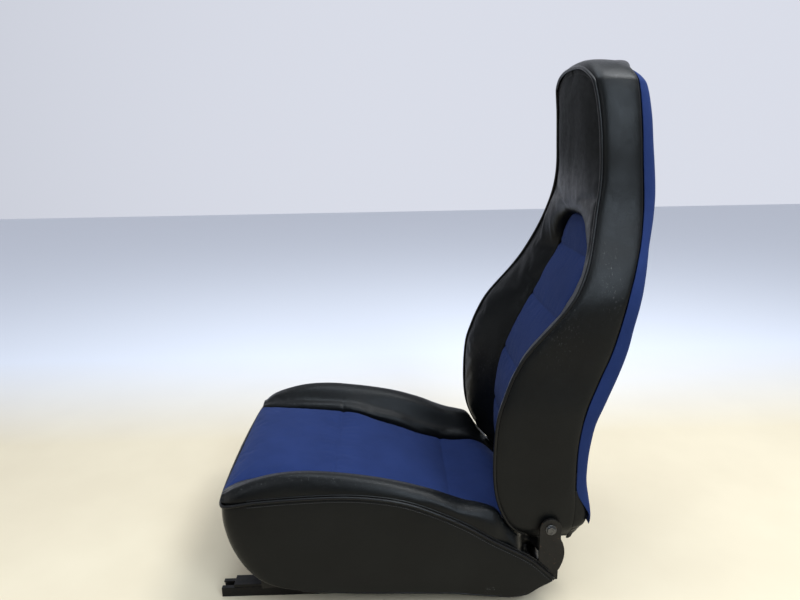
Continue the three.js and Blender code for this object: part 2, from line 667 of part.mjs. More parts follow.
function ringAlongX(inner, outer, x0, x1, sides) {
  return cut(rodAlongX(outer, x0, x1, PIVOT.y, PIVOT.z, sides),
    rodAlongX(inner, x0 - 1, x1 + 1, PIVOT.y, PIVOT.z, 24));
}

for (const [side, sign] of SIDES) {
  add(`hinge_ear_${side}`, mirror(hingeEar(), sign), steelPaint);
  add(`hinge_bracket_${side}`, mirror(hingeBracket(side === 'right'), sign), steelPaint);
  add(`pivot_bolt_${side}`, mirror(pivotBolt(), sign), zinc);
  add(`pivot_spacer_${side}`,
    mirror(ringAlongX(PIVOT_BOLT_R + 0.3, 9, EAR_X + PLATE + GAP, BRACKET_X - GAP, 24), sign), zinc);
  add(`pivot_nut_${side}`,
    mirror(ringAlongX(PIVOT_BOLT_R + 0.3, 9, EAR_X - 8 - GAP, EAR_X - GAP, 6), sign), zinc);
}

// ---- recliner: a toothed sector on the right ear, and the lever's pawl below it ----
const SECTOR_R = 42;
const TOOTH_ANGLE = THREE.MathUtils.degToRad(6);

function reclineSector() {
  const from = THREE.MathUtils.degToRad(-118);
  const teeth = 14;
  const outline = [[PIVOT.y - 11, PIVOT.z - 8]];
  for (let i = 0; i < teeth; i++) {
    for (const [part, r] of [[0, SECTOR_R - 3], [0.35, SECTOR_R - 3], [0.55, SECTOR_R], [0.8, SECTOR_R]]) {
      const angle = from + (i + part) * TOOTH_ANGLE;
      outline.push([PIVOT.y + r * Math.cos(angle), PIVOT.z + r * Math.sin(angle)]);
    }
  }
  outline.push([PIVOT.y + 12, PIVOT.z + 13], [PIVOT.y - 11, PIVOT.z + 13]);
  const shape = polygon(outline);
  shape.holes.push(circleHole(PIVOT.y, PIVOT.z, 9 + GAP));
  return sidePlate(shape, EAR_X + PLATE + GAP, EAR_X + 2 * PLATE);
}

// The pawl's nose stands just clear of the sector's teeth, and swings away as the lever lifts.
function reclinePawl() {
  const toPivot = Math.atan2(PIVOT.z - LEVER_PIVOT.z, PIVOT.y - LEVER_PIVOT.y);
  const reach = PIVOT.distanceTo(LEVER_PIVOT) - SECTOR_R - 0.8;
  const along = (r, aside) => [
    LEVER_PIVOT.y + r * Math.cos(toPivot) - aside * Math.sin(toPivot),
    LEVER_PIVOT.z + r * Math.sin(toPivot) + aside * Math.cos(toPivot),
  ];
  const shape = polygon([
    along(0, -10), along(reach - 5, -6), along(reach, -3), along(reach, -1), along(reach - 2.5, -0.4),
    along(reach - 2.5, 0.4), along(reach, 1), along(reach, 3), along(reach - 5, 6), along(0, 10),
    along(-10, 6), along(-10, -6),
  ]);
  shape.holes.push(circleHole(LEVER_PIVOT.y, LEVER_PIVOT.z, LEVER_SHAFT_R + 0.3));
  return sidePlate(shape, EAR_X + PLATE + GAP, EAR_X + 2 * PLATE);
}

const LEVER_PLATE_X = BASE_HALF + 1.5;
function leverShaft() {
  const { y, z } = LEVER_PIVOT;
  return join(rodAlongX(LEVER_SHAFT_R, EAR_X - 2, LEVER_PLATE_X - GAP, y, z, 20),
    rodAlongX(8, EAR_X - 4, EAR_X + PLATE - 0.2, y, z, 20));
}

function reclineLever() {
  const shape = new THREE.Shape();
  shape.absarc(LEVER_PIVOT.y, LEVER_PIVOT.z, 11, -Math.PI / 2, Math.PI / 2, false);
  shape.quadraticCurveTo(180, 108, 150, 118);
  shape.lineTo(96, 132);
  shape.lineTo(94, 121);
  shape.quadraticCurveTo(170, 98, 192, 87);
  shape.closePath();
  return sidePlate(shape, LEVER_PLATE_X, LEVER_PLATE_X + 3);
}

function leverGrip() {
  const outline = [
    [150, 120], [120, 130], [88, 138], [78, 133], [77, 122], [86, 116], [118, 110], [148, 103],
  ];
  const grip = sidePlate(outline, LEVER_PLATE_X - 1, LEVER_PLATE_X + 6.5);
  const slot = block(LEVER_PLATE_X - GAP, LEVER_PLATE_X + 3 + GAP, 93.5, 160, 90, 160);
  return cut(grip, slot);
}

function coil(radius, wire, turns, axis, from, length, stepsPerTurn = 10, sides = 5) {
  const [u, v] = axis === 'x' ? [[0, 1, 0], [0, 0, 1]] : [[1, 0, 0], [0, 0, 1]];
  const along = axis === 'x' ? new THREE.Vector3(1, 0, 0) : new THREE.Vector3(0, 1, 0);
  const points = stations(0, turns, turns * stepsPerTurn + 1).map((turn) => {
    const angle = 2 * Math.PI * turn;
    return from.clone().addScaledVector(along, (length * turn) / turns)
      .addScaledVector(new THREE.Vector3(...u), radius * Math.cos(angle))
      .addScaledVector(new THREE.Vector3(...v), radius * Math.sin(angle));
  });
  return tube(points, wire, turns * stepsPerTurn, sides);
}

function leverSpring() {
  const from = new THREE.Vector3(EAR_X + 2 * PLATE + 4, LEVER_PIVOT.y, LEVER_PIVOT.z);
  return coil(8, 1.1, 4, 'x', from, 14);
}

const right = -1;
add('recline_sector', mirror(reclineSector(), right), zinc);
add('recline_pawl', mirror(reclinePawl(), right), zinc);
add('lever_shaft', mirror(leverShaft(), right), zinc);
add('recline_lever', mirror(reclineLever(), right), steelPaint);
add('lever_grip', mirror(leverGrip(), right), plastic);
add('lever_spring', mirror(leverSpring(), right), springSteel);

// ---- slide release: a bar under the cushion's front that lifts the rail latches ----
const RELEASE = new THREE.Vector3(0, -262, 26);
const BAR_R = 5;

function releaseBar() {
  const half = [
    [167, -262, 26], [156, -262, 26], [150.5, -265, 26], [148, -275, 26], [148, -318, 26], [146, -330, 27],
    [136, -339, 28], [118, -342, 29], [60, -343, 30],
  ];
  const points = [...half, [0, -343, 30], ...half.map(([x, y, z]) => [-x, y, z]).reverse()]
    .map((p) => new THREE.Vector3(...p));
  return tube(points, BAR_R, 48, 8);
}

function releaseBracket() {
  const shape = polygon([[-276, 16], [-250, 16], [-250, 36], [-272, 45], [-284, 45], [-284, 30]]);
  shape.holes.push(circleHole(RELEASE.y, RELEASE.z, BAR_R + 1));
  return sidePlate(shape, 157, 160);
}

// The latch grips the bar's end and reaches back along the rail, with teeth for the rail's slots.
function slideLatch() {
  const outline = [[-272, 18], [-200, 18]];
  for (let i = 0; i < 4; i++) {
    const y = -204 - 8 * i;
    outline.push([y, 30], [y - 4, 30], [y - 4, 26], [y - 8, 26]);
  }
  outline.push([-250, 26], [-254, 35], [-272, 35]);
  return sidePlate(outline, 169, 172.5);
}

for (const [side, sign] of SIDES) {
  add(`release_bracket_${side}`, mirror(releaseBracket(), sign), steelPaint);
  add(`slide_latch_${side}`, mirror(slideLatch(), sign), zinc);
}
add('slide_release_bar', releaseBar(), zinc);
add('release_spring', coil(4, 0.8, 6, 'y', new THREE.Vector3(170.7, -196, 25), 40, 8, 4), springSteel);

// ---- backrest trim ----
const spacerHole = (sign) => rodAlongX(14, sign * 205, sign * 260, PIVOT.y, PIVOT.z);
add('back_insert', backInsert(), cloth);
add('headrest_pad', join(headrestPad(), headrestLip()), vinyl);
for (const [side, sign] of SIDES) {
  add(`back_bolster_${side}`, mirror(backBolster(), sign), vinyl);
  add(`back_side_panel_${side}`, cut(boxing(0, 0.84, 26, sign), spacerHole(sign)), vinyl);
}
add('back_top_panel', boxing(0.8415, 1.1585, 21), vinyl);
add('back_piping', backPiping(), vinyl);
add('back_cover', backCover(), cloth);

export default seat;
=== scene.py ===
"""Reclining sports seat: upholstery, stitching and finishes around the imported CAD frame."""

import math

import bmesh
import bpy
import numpy as np
from mathutils import Matrix, Vector, noise
from mathutils.bvhtree import BVHTree
from mathutils.kdtree import KDTree


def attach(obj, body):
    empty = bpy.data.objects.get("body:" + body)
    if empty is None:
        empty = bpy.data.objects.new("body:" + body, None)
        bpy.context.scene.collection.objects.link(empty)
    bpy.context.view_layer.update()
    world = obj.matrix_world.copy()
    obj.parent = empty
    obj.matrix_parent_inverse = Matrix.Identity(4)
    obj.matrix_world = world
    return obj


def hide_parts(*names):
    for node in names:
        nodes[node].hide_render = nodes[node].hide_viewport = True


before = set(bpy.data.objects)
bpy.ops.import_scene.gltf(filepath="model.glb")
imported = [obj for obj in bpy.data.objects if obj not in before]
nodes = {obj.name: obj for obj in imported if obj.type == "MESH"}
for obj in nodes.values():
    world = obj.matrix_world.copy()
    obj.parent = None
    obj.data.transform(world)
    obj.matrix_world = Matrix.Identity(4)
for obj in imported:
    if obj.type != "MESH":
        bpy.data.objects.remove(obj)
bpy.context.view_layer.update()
scene = bpy.context.scene
MM = 0.001


# ---- camera: at the left side of the seat, a little above the headrest's middle ----
def make_camera():
    pitch, yaw, roll = (math.radians(a) for a in (13.84, -1.0, 1.0))
    forward = Vector((-math.cos(pitch) * math.cos(yaw), -math.cos(pitch) * math.sin(yaw), -math.sin(pitch)))
    level = Vector((-math.sin(yaw), math.cos(yaw), 0))
    rise = level.cross(forward)
    right = math.cos(roll) * level - math.sin(roll) * rise
    up = math.sin(roll) * level + math.cos(roll) * rise
    data = bpy.data.cameras.new("camera")
    data.lens, data.sensor_width = 29.115, 36
    data.clip_start, data.clip_end = 0.05, 50
    camera = bpy.data.objects.new("camera", data)
    turned = Matrix((right, up, -forward)).transposed().to_4x4()
    camera.matrix_world = Matrix.Translation((1.335, -0.072, 0.885)) @ turned
    scene.collection.objects.link(camera)
    scene.camera = camera


make_camera()
scene.view_settings.view_transform = "Standard"


# ---- curves: the CAD's outlines, in millimetres ----
def curve_through(points):
    at, value = (np.array(c, float) for c in zip(*points))
    before = np.maximum(np.arange(len(at)) - 1, 0)
    after = np.minimum(np.arange(len(at)) + 1, len(at) - 1)
    slope = (value[after] - value[before]) / (at[after] - at[before])

    def curve(x):
        x = np.clip(x, at[0], at[-1])
        i = np.clip(np.searchsorted(at, x) - 1, 0, len(at) - 2)
        h = at[i + 1] - at[i]
        t = (x - at[i]) / h
        return ((2 * t**3 - 3 * t**2 + 1) * value[i] + (t**3 - 2 * t**2 + t) * h * slope[i]
                + (3 * t**2 - 2 * t**3) * value[i + 1] + (t**3 - t**2) * h * slope[i + 1])

    return curve


def slope_factor(curve, at):
    return np.hypot(1, (curve(at + 2) - curve(at - 2)) / 4)


piping_height = curve_through([
    (-400, 226), (-350, 236), (-205, 244), (-125, 241), (-52, 228), (5, 206), (63, 177), (117, 143),
    (190, 100), (235, 57)])
crest_height = curve_through([
    (-394, 242), (-378, 254), (-345, 268), (-300, 280), (-250, 284), (-195, 281), (-90, 265),
    (-10, 244), (62, 217), (100, 206), (118, 198), (130, 184), (144, 162), (160, 142), (185, 122),
    (200, 112), (222, 104)])
seam_height = curve_through([
    (-405, 227), (-399, 234), (-388, 241), (-350, 246), (-294, 245), (-224, 238), (-160, 229),
    (-110, 211), (-50, 190), (0, 170), (60, 153), (130, 149), (162, 134), (185, 112), (200, 106),
    (222, 100)])
seam_at = curve_through([(-398, 200), (-372, 186), (-320, 174), (-250, 171), (200, 171)])
foam_bottom = curve_through([
    (-405, 224), (-390, 223.5), (-382, 175), (-366, 145), (-335, 130), (-150, 116), (0, 102), (200, 87),
    (222, 86)])
bolster_tail = curve_through([(120, 0), (140, 6), (168, 8), (188, 60), (222, 60)])  # clear of the hinge
front_sweep = curve_through([(50, -262), (61, -315), (85, -349), (129, -375), (183, -390), (230, -395)])
hem_height = curve_through([
    (-262, 50), (-150, 41), (36, 34), (92, 28), (150, 23), (181, 27), (205, 42), (231, 56)])
half_width = curve_through([
    (134, 226), (160, 238), (230, 241), (390, 245), (470, 240), (560, 240), (610, 236), (655, 220),
    (710, 189), (760, 166), (815, 157), (880, 153), (912, 149), (940, 143), (960, 138.5), (975, 133.5),
    (985, 129), (996, 114), (1003, 100), (1010, 79)])
front_edge = curve_through([
    (134, 190), (156, 158), (187, 138), (233, 123), (300, 118), (385, 123), (430, 136), (470, 152),
    (510, 175), (576, 232), (615, 260), (675, 287), (760, 309), (815, 316), (880, 314), (940, 309),
    (985, 302), (1010, 297)])
side_seam = curve_through([
    (134, 268), (180, 275), (265, 273), (320, 273), (360, 277), (402, 286), (447, 303), (504, 325),
    (560, 340), (610, 352), (656, 367), (690, 379), (724, 388), (770, 394), (870, 389), (960, 384),
    (1010, 380)])
back_line = curve_through([
    (122, 272), (134, 285), (161, 303), (185, 307), (213, 304), (250, 298), (285, 298), (323, 301),
    (368, 309), (406, 324), (459, 346), (508, 362), (557, 371), (686, 400), (711, 408), (740, 417),
    (771, 422), (800, 422), (834, 419), (879, 413.5), (928, 409), (952, 406), (975, 402), (990, 397),
    (1000, 392), (1012, 384)])
insert_face = curve_through([
    (128, 193), (146, 189), (165, 187), (209, 182), (266, 180), (338, 185), (393, 197), (468, 227),
    (504, 245), (563, 276), (595, 290), (650, 318), (700, 328), (731, 331)])
insert_half = curve_through([
    (165, 150), (450, 142), (560, 137), (640, 129), (680, 118), (705, 101), (720, 78), (729, 46),
    (731, 0)])

BASE_HALF = 259.5
CUSHION_REAR = 222
PIPING_R = 3.2
TOP_CORNER, BOXING_TOP, CORNER_AT = 985, 1018, 0.86
BACK_BOTTOM = 134


def boxing_station(t):
    """The backrest's outline from a side's bottom (0) to the top's middle (1): x, z and the way out, x, z."""
    if t <= CORNER_AT:
        z = BACK_BOTTOM + (TOP_CORNER - BACK_BOTTOM) * t / CORNER_AT
        lean = 0.81 * max(0, (z - 900) / 85) ** 3
        return half_width(z), z, math.cos(lean), math.sin(lean)
    turn = 0.53 + (t - CORNER_AT) / (1 - CORNER_AT) * (math.pi / 2 - 0.53)
    across, up = max(0, math.cos(turn)), math.sin(turn)
    lean = math.atan2(146.2 * up**1.15, 75 * across**1.15)
    return 146.2 * across**0.85, BOXING_TOP - 75 * (1 - up**0.85), math.cos(lean), math.sin(lean)


def ease(x):
    x = np.clip(x, 0, 1)
    return x * x * (3 - 2 * x)


ROLL_OVER = 20  # how far the boxing reaches over the top edge on to the back


def boxing_rear(t):
    """Where the boxing meets the cover: depth outside the outline, and y. It rolls over the top edge."""
    over = ease((t - 0.905) / 0.07)
    z = boxing_station(t)[1]
    return -ROLL_OVER * over, side_seam(z) * (1 - over) + 400 * over


# ---- mesh tools ----
def distances(points):
    """How far along a line of points each one lies."""
    return np.concatenate([[0], np.cumsum(np.linalg.norm(np.diff(points, axis=0), axis=1))])


def interpolate(at, known, points):
    return np.stack([np.interp(at, known, points[:, k]) for k in range(points.shape[1])], axis=1)


def resample(points, count):
    p = np.array(points, float)
    d = distances(p)
    return interpolate(np.linspace(0, d[-1], count), d, p)


def smooth_line(points, count):
    """count points, evenly spaced, on a smooth line through a few points."""
    p = np.array(points, float)
    steps = np.linspace(0, len(p) - 1, 14 * len(p))
    dense = np.stack([curve_through(list(enumerate(p[:, k])))(steps) for k in range(p.shape[1])], axis=1)
    return resample(dense, count)


def make_object(name, verts, faces, uvs=None):
    """A smooth mesh from millimetres, with one UV pair for each corner of each face, in metres."""
    mesh = bpy.data.meshes.new(name)
    mesh.from_pydata((np.asarray(verts) * MM).tolist(), [], faces)
    if uvs is not None:
        layer = mesh.uv_layers.new(name="UVMap")
        layer.data.foreach_set("uv", (np.asarray(uvs, np.float32) * MM).ravel())
    mesh.validate()
    work = bmesh.new()
    work.from_mesh(mesh)
    bmesh.ops.remove_doubles(work, verts=work.verts, dist=1e-5)
    bmesh.ops.recalc_face_normals(work, faces=work.faces)
    work.to_mesh(mesh)
    work.free()
    mesh.polygons.foreach_set("use_smooth", [True] * len(mesh.polygons))
    obj = bpy.data.objects.new(name, mesh)
    scene.collection.objects.link(obj)
    return obj


def grid_uv(grid):
    """Distances along the rows and columns of a grid of points."""
    across, along = np.zeros(grid.shape[:2]), np.zeros(grid.shape[:2])
    across[:, 1:] = np.cumsum(np.linalg.norm(np.diff(grid, axis=1), axis=2), axis=1)
    along[1:] = np.cumsum(np.linalg.norm(np.diff(grid, axis=0), axis=2), axis=0)
    across = across - across[:, -1:] / 2
    return np.stack([across, np.repeat(along.mean(axis=1, keepdims=True), grid.shape[1], axis=1)], axis=2)


def shell(front, back, walls=2, open_from=None):
    """A closed skin from two grids with the same rows and columns. Walls join their borders, except along
    the last column from row open_from on, where a mirrored half takes over."""
    n, m = front.shape[:2]
    verts = [*front.reshape(-1, 3), *back.reshape(-1, 3)]
    uv_front = grid_uv(front).reshape(-1, 2)
    uv_of = [*uv_front, *uv_front]
    faces = []
    for i in range(n - 1):
        for j in range(m - 1):
            a = i * m + j
            quad = (a, a + 1, a + m + 1, a + m)
            faces += [quad, tuple(v + n * m for v in reversed(quad))]
    border = ([(0, j) for j in range(m - 1)] + [(i, m - 1) for i in range(n - 1)]
              + [(n - 1, j) for j in range(m - 1, 0, -1)] + [(i, 0) for i in range(n - 1, 0, -1)])
    columns = []
    for i, j in border:
        a = i * m + j
        column = [a]
        for k in range(1, walls + 1):
            part = k / (walls + 1)
            verts.append(front[i, j] * (1 - part) + back[i, j] * part)
            uv_of.append(uv_front[a] + part * 20)
            column.append(len(verts) - 1)
        columns.append(column + [a + n * m])
    for k, (i, j) in enumerate(border):
        following = (k + 1) % len(border)
        if open_from is not None and j == m - 1 and border[following][1] == m - 1 and i >= open_from:
            continue
        for a, b in zip(range(walls + 1), range(1, walls + 2)):
            faces.append((columns[k][a], columns[k][b], columns[following][b], columns[following][a]))
    uvs = [uv_of[v] for f in faces for v in f]
    return np.array(verts), faces, uvs


def mirrored(verts, faces, uvs):
    """The skin and its mirror image across the middle, as one."""
    flipped = [tuple(v + len(verts) for v in reversed(f)) for f in faces]
    sizes = np.cumsum([0] + [len(f) for f in faces])
    back_uvs = [uvs[k] for f in range(len(faces)) for k in range(sizes[f + 1] - 1, sizes[f] - 1, -1)]
    return np.concatenate([verts, verts * (-1, 1, 1)]), faces + flipped, list(uvs) + back_uvs


def both_halves(rows):
    """Rows from the left side to the middle, carried on to the right side."""
    rows = np.array(rows)
    return np.concatenate([rows, rows[::-1][1:] * (-1, 1, 1)])


def sweep(name, path, radius, sides=10):
    """A round cord along a path of points, closed at its ends."""
    path = np.array(path, float)
    tangent = np.gradient(path, axis=0)
    tangent /= np.linalg.norm(tangent, axis=1, keepdims=True)
    side = np.cross(tangent[0], (0.3, 0.2, 1))
    rings = []
    radii = np.broadcast_to(radius, len(path))
    for p, t, r in zip(path, tangent, radii):
        side = side - t * (side @ t)
        side /= np.linalg.norm(side)
        other = np.cross(t, side)
        turn = np.linspace(0, 2 * math.pi, sides, endpoint=False)[:, None]
        rings.append(p + r * (np.cos(turn) * side + np.sin(turn) * other))
    n, verts = len(rings), np.concatenate(rings)
    faces = [tuple(range(sides)), tuple(reversed(range((n - 1) * sides, n * sides)))]
    for i in range(n - 1):
        for j in range(sides):
            a, b = i * sides + j, i * sides + (j + 1) % sides
            faces.append((a, b, b + sides, a + sides))
    return make_object(name, verts, faces)


def threads(name, path, normals, pitch=4.6, length=3.2, radius=0.42):
    """A row of stitches along a path, each one a short thread that dips into the cloth at both ends."""
    path, normals = np.array(path, float), np.array(normals, float)
    d = distances(path)
    starts = np.arange(pitch / 2, d[-1] - pitch, pitch)
    verts, faces, sides, stations = [], [], 5, 5
    for s in starts:
        at = np.linspace(s, s + length, stations)
        line = interpolate(at, d, path)
        up = np.array([np.interp(s, d, normals[:, k]) for k in range(3)])
        up /= np.linalg.norm(up)
        along = line[-1] - line[0]
        along /= np.linalg.norm(along)
        aside = np.cross(along, up)
        lift = radius * (np.sin(np.linspace(0, math.pi, stations)) * 1.6 - 0.9)
        thick = radius * np.array([0.45, 0.95, 1, 0.95, 0.45])
        base = len(verts)
        for p, h, r in zip(line, lift, thick):
            for k in range(sides):
                turn = 2 * math.pi * k / sides
                verts.append(p + up * (h + r * math.sin(turn)) + aside * r * math.cos(turn))
        for i in range(stations - 1):
            for k in range(sides):
                a, b = base + i * sides + k, base + i * sides + (k + 1) % sides
                faces.append((a, b, b + sides, a + sides))
        faces += [tuple(range(base, base + sides)), tuple(reversed(range(len(verts) - sides, len(verts))))]
    return make_object(name, verts, faces)


def coordinates(mesh):
    co = np.zeros(len(mesh.vertices) * 3, np.float32)
    mesh.vertices.foreach_get("co", co)
    return co.reshape(-1, 3).astype(float)


def normals_of(mesh):
    n = np.zeros(len(mesh.vertices) * 3, np.float32)
    mesh.vertices.foreach_get("normal", n)
    return n.reshape(-1, 3).astype(float)


def apply_modifiers(obj):
    evaluated = obj.evaluated_get(bpy.context.evaluated_depsgraph_get())
    mesh = bpy.data.meshes.new_from_object(evaluated)
    obj.modifiers.clear()
    obj.data = mesh


def match_points(points, wanted):
    """For each wanted point, the index of the nearest point."""
    tree = KDTree(len(points))
    for i, p in enumerate(points):
        tree.insert(Vector(p), i)
    tree.balance()
    return np.array([tree.find(Vector(p))[1] for p in wanted])


def reach_to(points, line):
    """The distance from each point to a dense line of points, and the index of the nearest one."""
    nearest = match_points([(*p, 0) for p in line], [(*p, 0) for p in points])
    return np.linalg.norm(points - np.array(line)[nearest], axis=1), nearest


def lay_on(obj, points, direction):
    """Drops points onto an object's surface along a direction, and gives the surface's normals there."""
    obj.data.calc_loop_triangles()
    triangles = [tuple(t.vertices) for t in obj.data.loop_triangles]
    tree = BVHTree.FromPolygons(coordinates(obj.data).tolist(), triangles)
    found, normals = [], []
    along = Vector(direction).normalized()
    for p in points:
        hit, normal, _, _ = tree.ray_cast(Vector(p) * MM - along * 0.06, along, 0.12)
        if hit is not None:
            found.append(np.array(hit) / MM)
            normals.append(np.array(normal if normal @ along < 0 else -normal))
    return np.array(found), np.array(normals)


def held_but(obj, front, free):
    """1 for each point of a skin that stays in place, and 0 where its front grid is free."""
    co = coordinates(obj.data) / MM
    held = np.ones(len(co))
    held[match_points(co, front.reshape(-1, 3))[free.reshape(-1) > 0]] = 0.0
    return held


def inflate(obj, held, pressure, cap, slack=0.0, frames=20):
    """Blows the skin up like a filled cover that is sewn down where held is 1, and keeps the result.
    No point moves further than cap millimetres."""
    start = coordinates(obj.data)
    group = obj.vertex_groups.new(name="sewn")
    for weight in (0.35, 1.0):
        group.add([int(i) for i in np.flatnonzero(np.isclose(held, weight))], weight, "REPLACE")
    cloth = obj.modifiers.new("filling", "CLOTH")
    s = cloth.settings
    s.quality, s.mass, s.air_damping = 5, 0.2, 3
    s.tension_stiffness = s.compression_stiffness = 12
    s.shear_stiffness, s.bending_stiffness = 6, 0.4
    s.shrink_min = -slack
    s.use_pressure, s.uniform_pressure_force = True, pressure
    s.vertex_group_mass = "sewn"
    s.pin_stiffness = 1
    s.effector_weights.gravity = 0
    cloth.collision_settings.use_collision = False
    for f in range(1, frames + 1):
        scene.frame_set(f)
    evaluated = obj.evaluated_get(bpy.context.evaluated_depsgraph_get())
    moved = coordinates(evaluated.data) - start
    obj.modifiers.remove(cloth)
    scene.frame_set(1)
    distance = np.linalg.norm(moved, axis=1, keepdims=True)
    limit = cap * MM
    moved *= limit * np.tanh(distance / limit) / np.maximum(distance, 1e-9)
    obj.data.vertices.foreach_set("co", (start + moved).astype(np.float32).ravel())
    obj.data.update()
    subdivide(obj)


def subdivide(obj):
    smooth = obj.modifiers.new("smooth", "SUBSURF")
    smooth.levels = smooth.render_levels = 1
    apply_modifiers(obj)


def ripple(obj, height):
    """Moves each point along its normal by height(points, normals) millimetres."""
    co, normal = coordinates(obj.data), normals_of(obj.data)
    co += normal * (height(co / MM, normal) * MM)[:, None]
    obj.data.vertices.foreach_set("co", co.astype(np.float32).ravel())
    obj.data.update()


def fractal(points, size, seed=0.0):
    """Smooth noise whose features are about size millimetres long, in x, y and z."""
    scaled = points / np.array(size) + seed
    return np.array([noise.noise(Vector(p)) for p in scaled])


def mark(obj, name, amount):
    """Stores an amount for each point, from 0 to 1, for the materials: wear, painted highlights and a matt
    finish.
    """
    attribute = obj.data.attributes.new(name, "FLOAT", "POINT")
    value = np.clip(amount(coordinates(obj.data) / MM), 0, 1)
    attribute.data.foreach_set("value", value.astype(np.float32))


def bump_at(points, centre, size):
    return np.exp(-(((points - centre) / size) ** 2).sum(axis=1))


# ---- materials ----
def shade(colour, by, more=0.0):
    return tuple(min(1, by * c + more) for c in colour[:3]) + (1,)


class Finish:
    """A node material built round its Principled shader."""

    def __init__(self, name, **sockets):
        self.material = bpy.data.materials.new(name)
        self.material.use_nodes = True
        self.tree = self.material.node_tree
        self.shader = self.tree.nodes["Principled BSDF"]
        for socket, value in sockets.items():
            self.shader.inputs[socket.replace("_", " ")].default_value = value
        self.place = self.node("ShaderNodeTexCoord").outputs["Object"]

    def node(self, kind, settings=None, **inputs):
        made = self.tree.nodes.new(kind)
        for key, value in (settings or {}).items():
            setattr(made, key, value)
        for key, value in inputs.items():
            by_number = key[0] == "i" and key[1:].isdigit()
            socket = made.inputs[int(key[1:]) if by_number else key.replace("_", " ")]
            if isinstance(value, bpy.types.NodeSocket):
                self.tree.links.new(value, socket)
            else:
                socket.default_value = value
        return made

    def noise(self, scale, detail=4.0, stretch=None, roughness=0.55):
        place = self.place
        if stretch:
            place = self.node("ShaderNodeMapping", Vector=place, Scale=stretch).outputs[0]
        made = self.node("ShaderNodeTexNoise", Vector=place, Scale=scale, Detail=detail, Roughness=roughness)
        return made.outputs[0]

    def band(self, value, low, high, to_low=0.0, to_high=1.0):
        ends = {"i1": low, "i2": high, "i3": to_low, "i4": to_high}
        return self.node("ShaderNodeMapRange", {"clamp": True}, i0=value, **ends).outputs[0]

    def maths(self, how, a, b):
        return self.node("ShaderNodeMath", {"operation": how}, i0=a, i1=b).outputs[0]

    def mix(self, share, a, b):
        return self.node("ShaderNodeMix", {"data_type": "RGBA"}, i0=share, i6=a, i7=b).outputs[2]

    def feed(self, socket, value):
        self.tree.links.new(value, self.shader.inputs[socket])

    def bumps(self, *layers):
        """Layers of (height, strength, distance in metres)."""
        normal = None
        for height, strength, distance in layers:
            inputs = {"Height": height, "Strength": strength, "Distance": distance}
            if normal is not None:
                inputs["Normal"] = normal
            normal = self.node("ShaderNodeBump", **inputs).outputs[0]
        self.feed("Normal", normal)


def leatherette(name, dark, light, rough, gloss=0.145, dust=0.3):
    f = Finish(name, Specular_IOR_Level=gloss)
    wear_and_highlight = f.node("ShaderNodeAttribute", {"attribute_name": "wear_and_highlight"}).outputs["Fac"]
    matt = f.node("ShaderNodeAttribute", {"attribute_name": "matt"}).outputs["Fac"]
    clouds = f.band(f.noise(7, 5), 0.3, 0.7)
    specks = f.band(f.noise(230, 3, roughness=0.7), 0.71, 0.76)
    # lighter grey scuff patches: real wear on most pieces, painted highlights on the backrest's boxing
    scuffs_and_highlights = f.maths("MULTIPLY", wear_and_highlight, f.band(f.noise(300, 4, (1, 1, 0.45), 0.75), 0.6, 0.66))
    film = f.maths("MULTIPLY", f.band(f.noise(38, 6, roughness=0.7), 0.5, 0.72), dust)
    colour = f.mix(clouds, dark, light)
    colour = f.mix(f.maths("MULTIPLY", specks, 0.25), colour, (0.07, 0.07, 0.068, 1))
    colour = f.mix(scuffs_and_highlights, colour, (0.13, 0.13, 0.125, 1))
    f.feed("Base Color", colour)
    worn = f.maths("MULTIPLY", f.maths("MAXIMUM", film, scuffs_and_highlights), 0.3)
    rubbed = f.maths("ADD", worn, f.maths("MULTIPLY", matt, 0.4))
    patchy = f.band(f.noise(90, 4), 0.3, 0.7, rough - 0.05, rough + 0.05)
    f.feed("Roughness", f.maths("ADD", patchy, rubbed))
    grain = f.node("ShaderNodeTexVoronoi", {"feature": "DISTANCE_TO_EDGE"}, Vector=f.place, Scale=820.0)
    f.bumps((f.noise(28, 3), 0.25, 0.0016), (f.noise(150, 4, roughness=0.6), 0.2, 0.0005),
            (f.band(grain.outputs[0], 0.0, 0.16), 0.25, 0.0002))
    return f.material


def woven(name, dark, light, thread=0.0012):
    f = Finish(name, Roughness=0.9, Specular_IOR_Level=0.12, Sheen_Weight=0.05, Sheen_Roughness=0.4,
               Sheen_Tint=(0.5, 0.6, 1, 1))
    uv = f.node("ShaderNodeUVMap", {"uv_map": "UVMap"}).outputs[0]
    scale = 2 * math.pi / (20 * thread)
    ribs = [f.node("ShaderNodeTexWave", {"bands_direction": way}, Vector=uv, Scale=scale, Distortion=0.6,
                   Detail=1.0).outputs[1] for way in ("X", "Y")]
    weave = f.maths("MULTIPLY", ribs[0], ribs[1])
    lint = f.band(f.noise(560, 3, (1, 0.3, 1), 0.7), 0.68, 0.76)
    clouds = f.band(f.noise(16, 5), 0.28, 0.72)
    colour = f.mix(clouds, dark, light)
    gaps = f.maths("MULTIPLY", f.maths("SUBTRACT", 1.0, weave), 0.3)
    colour = f.mix(gaps, colour, shade(dark, 0.45))
    colour = f.mix(f.maths("MULTIPLY", lint, 0.2), colour, (0.16, 0.2, 0.36, 1))
    f.feed("Base Color", colour)
    f.bumps((f.noise(45, 3), 0.2, 0.001), (weave, 0.5, 0.0003))
    return f.material


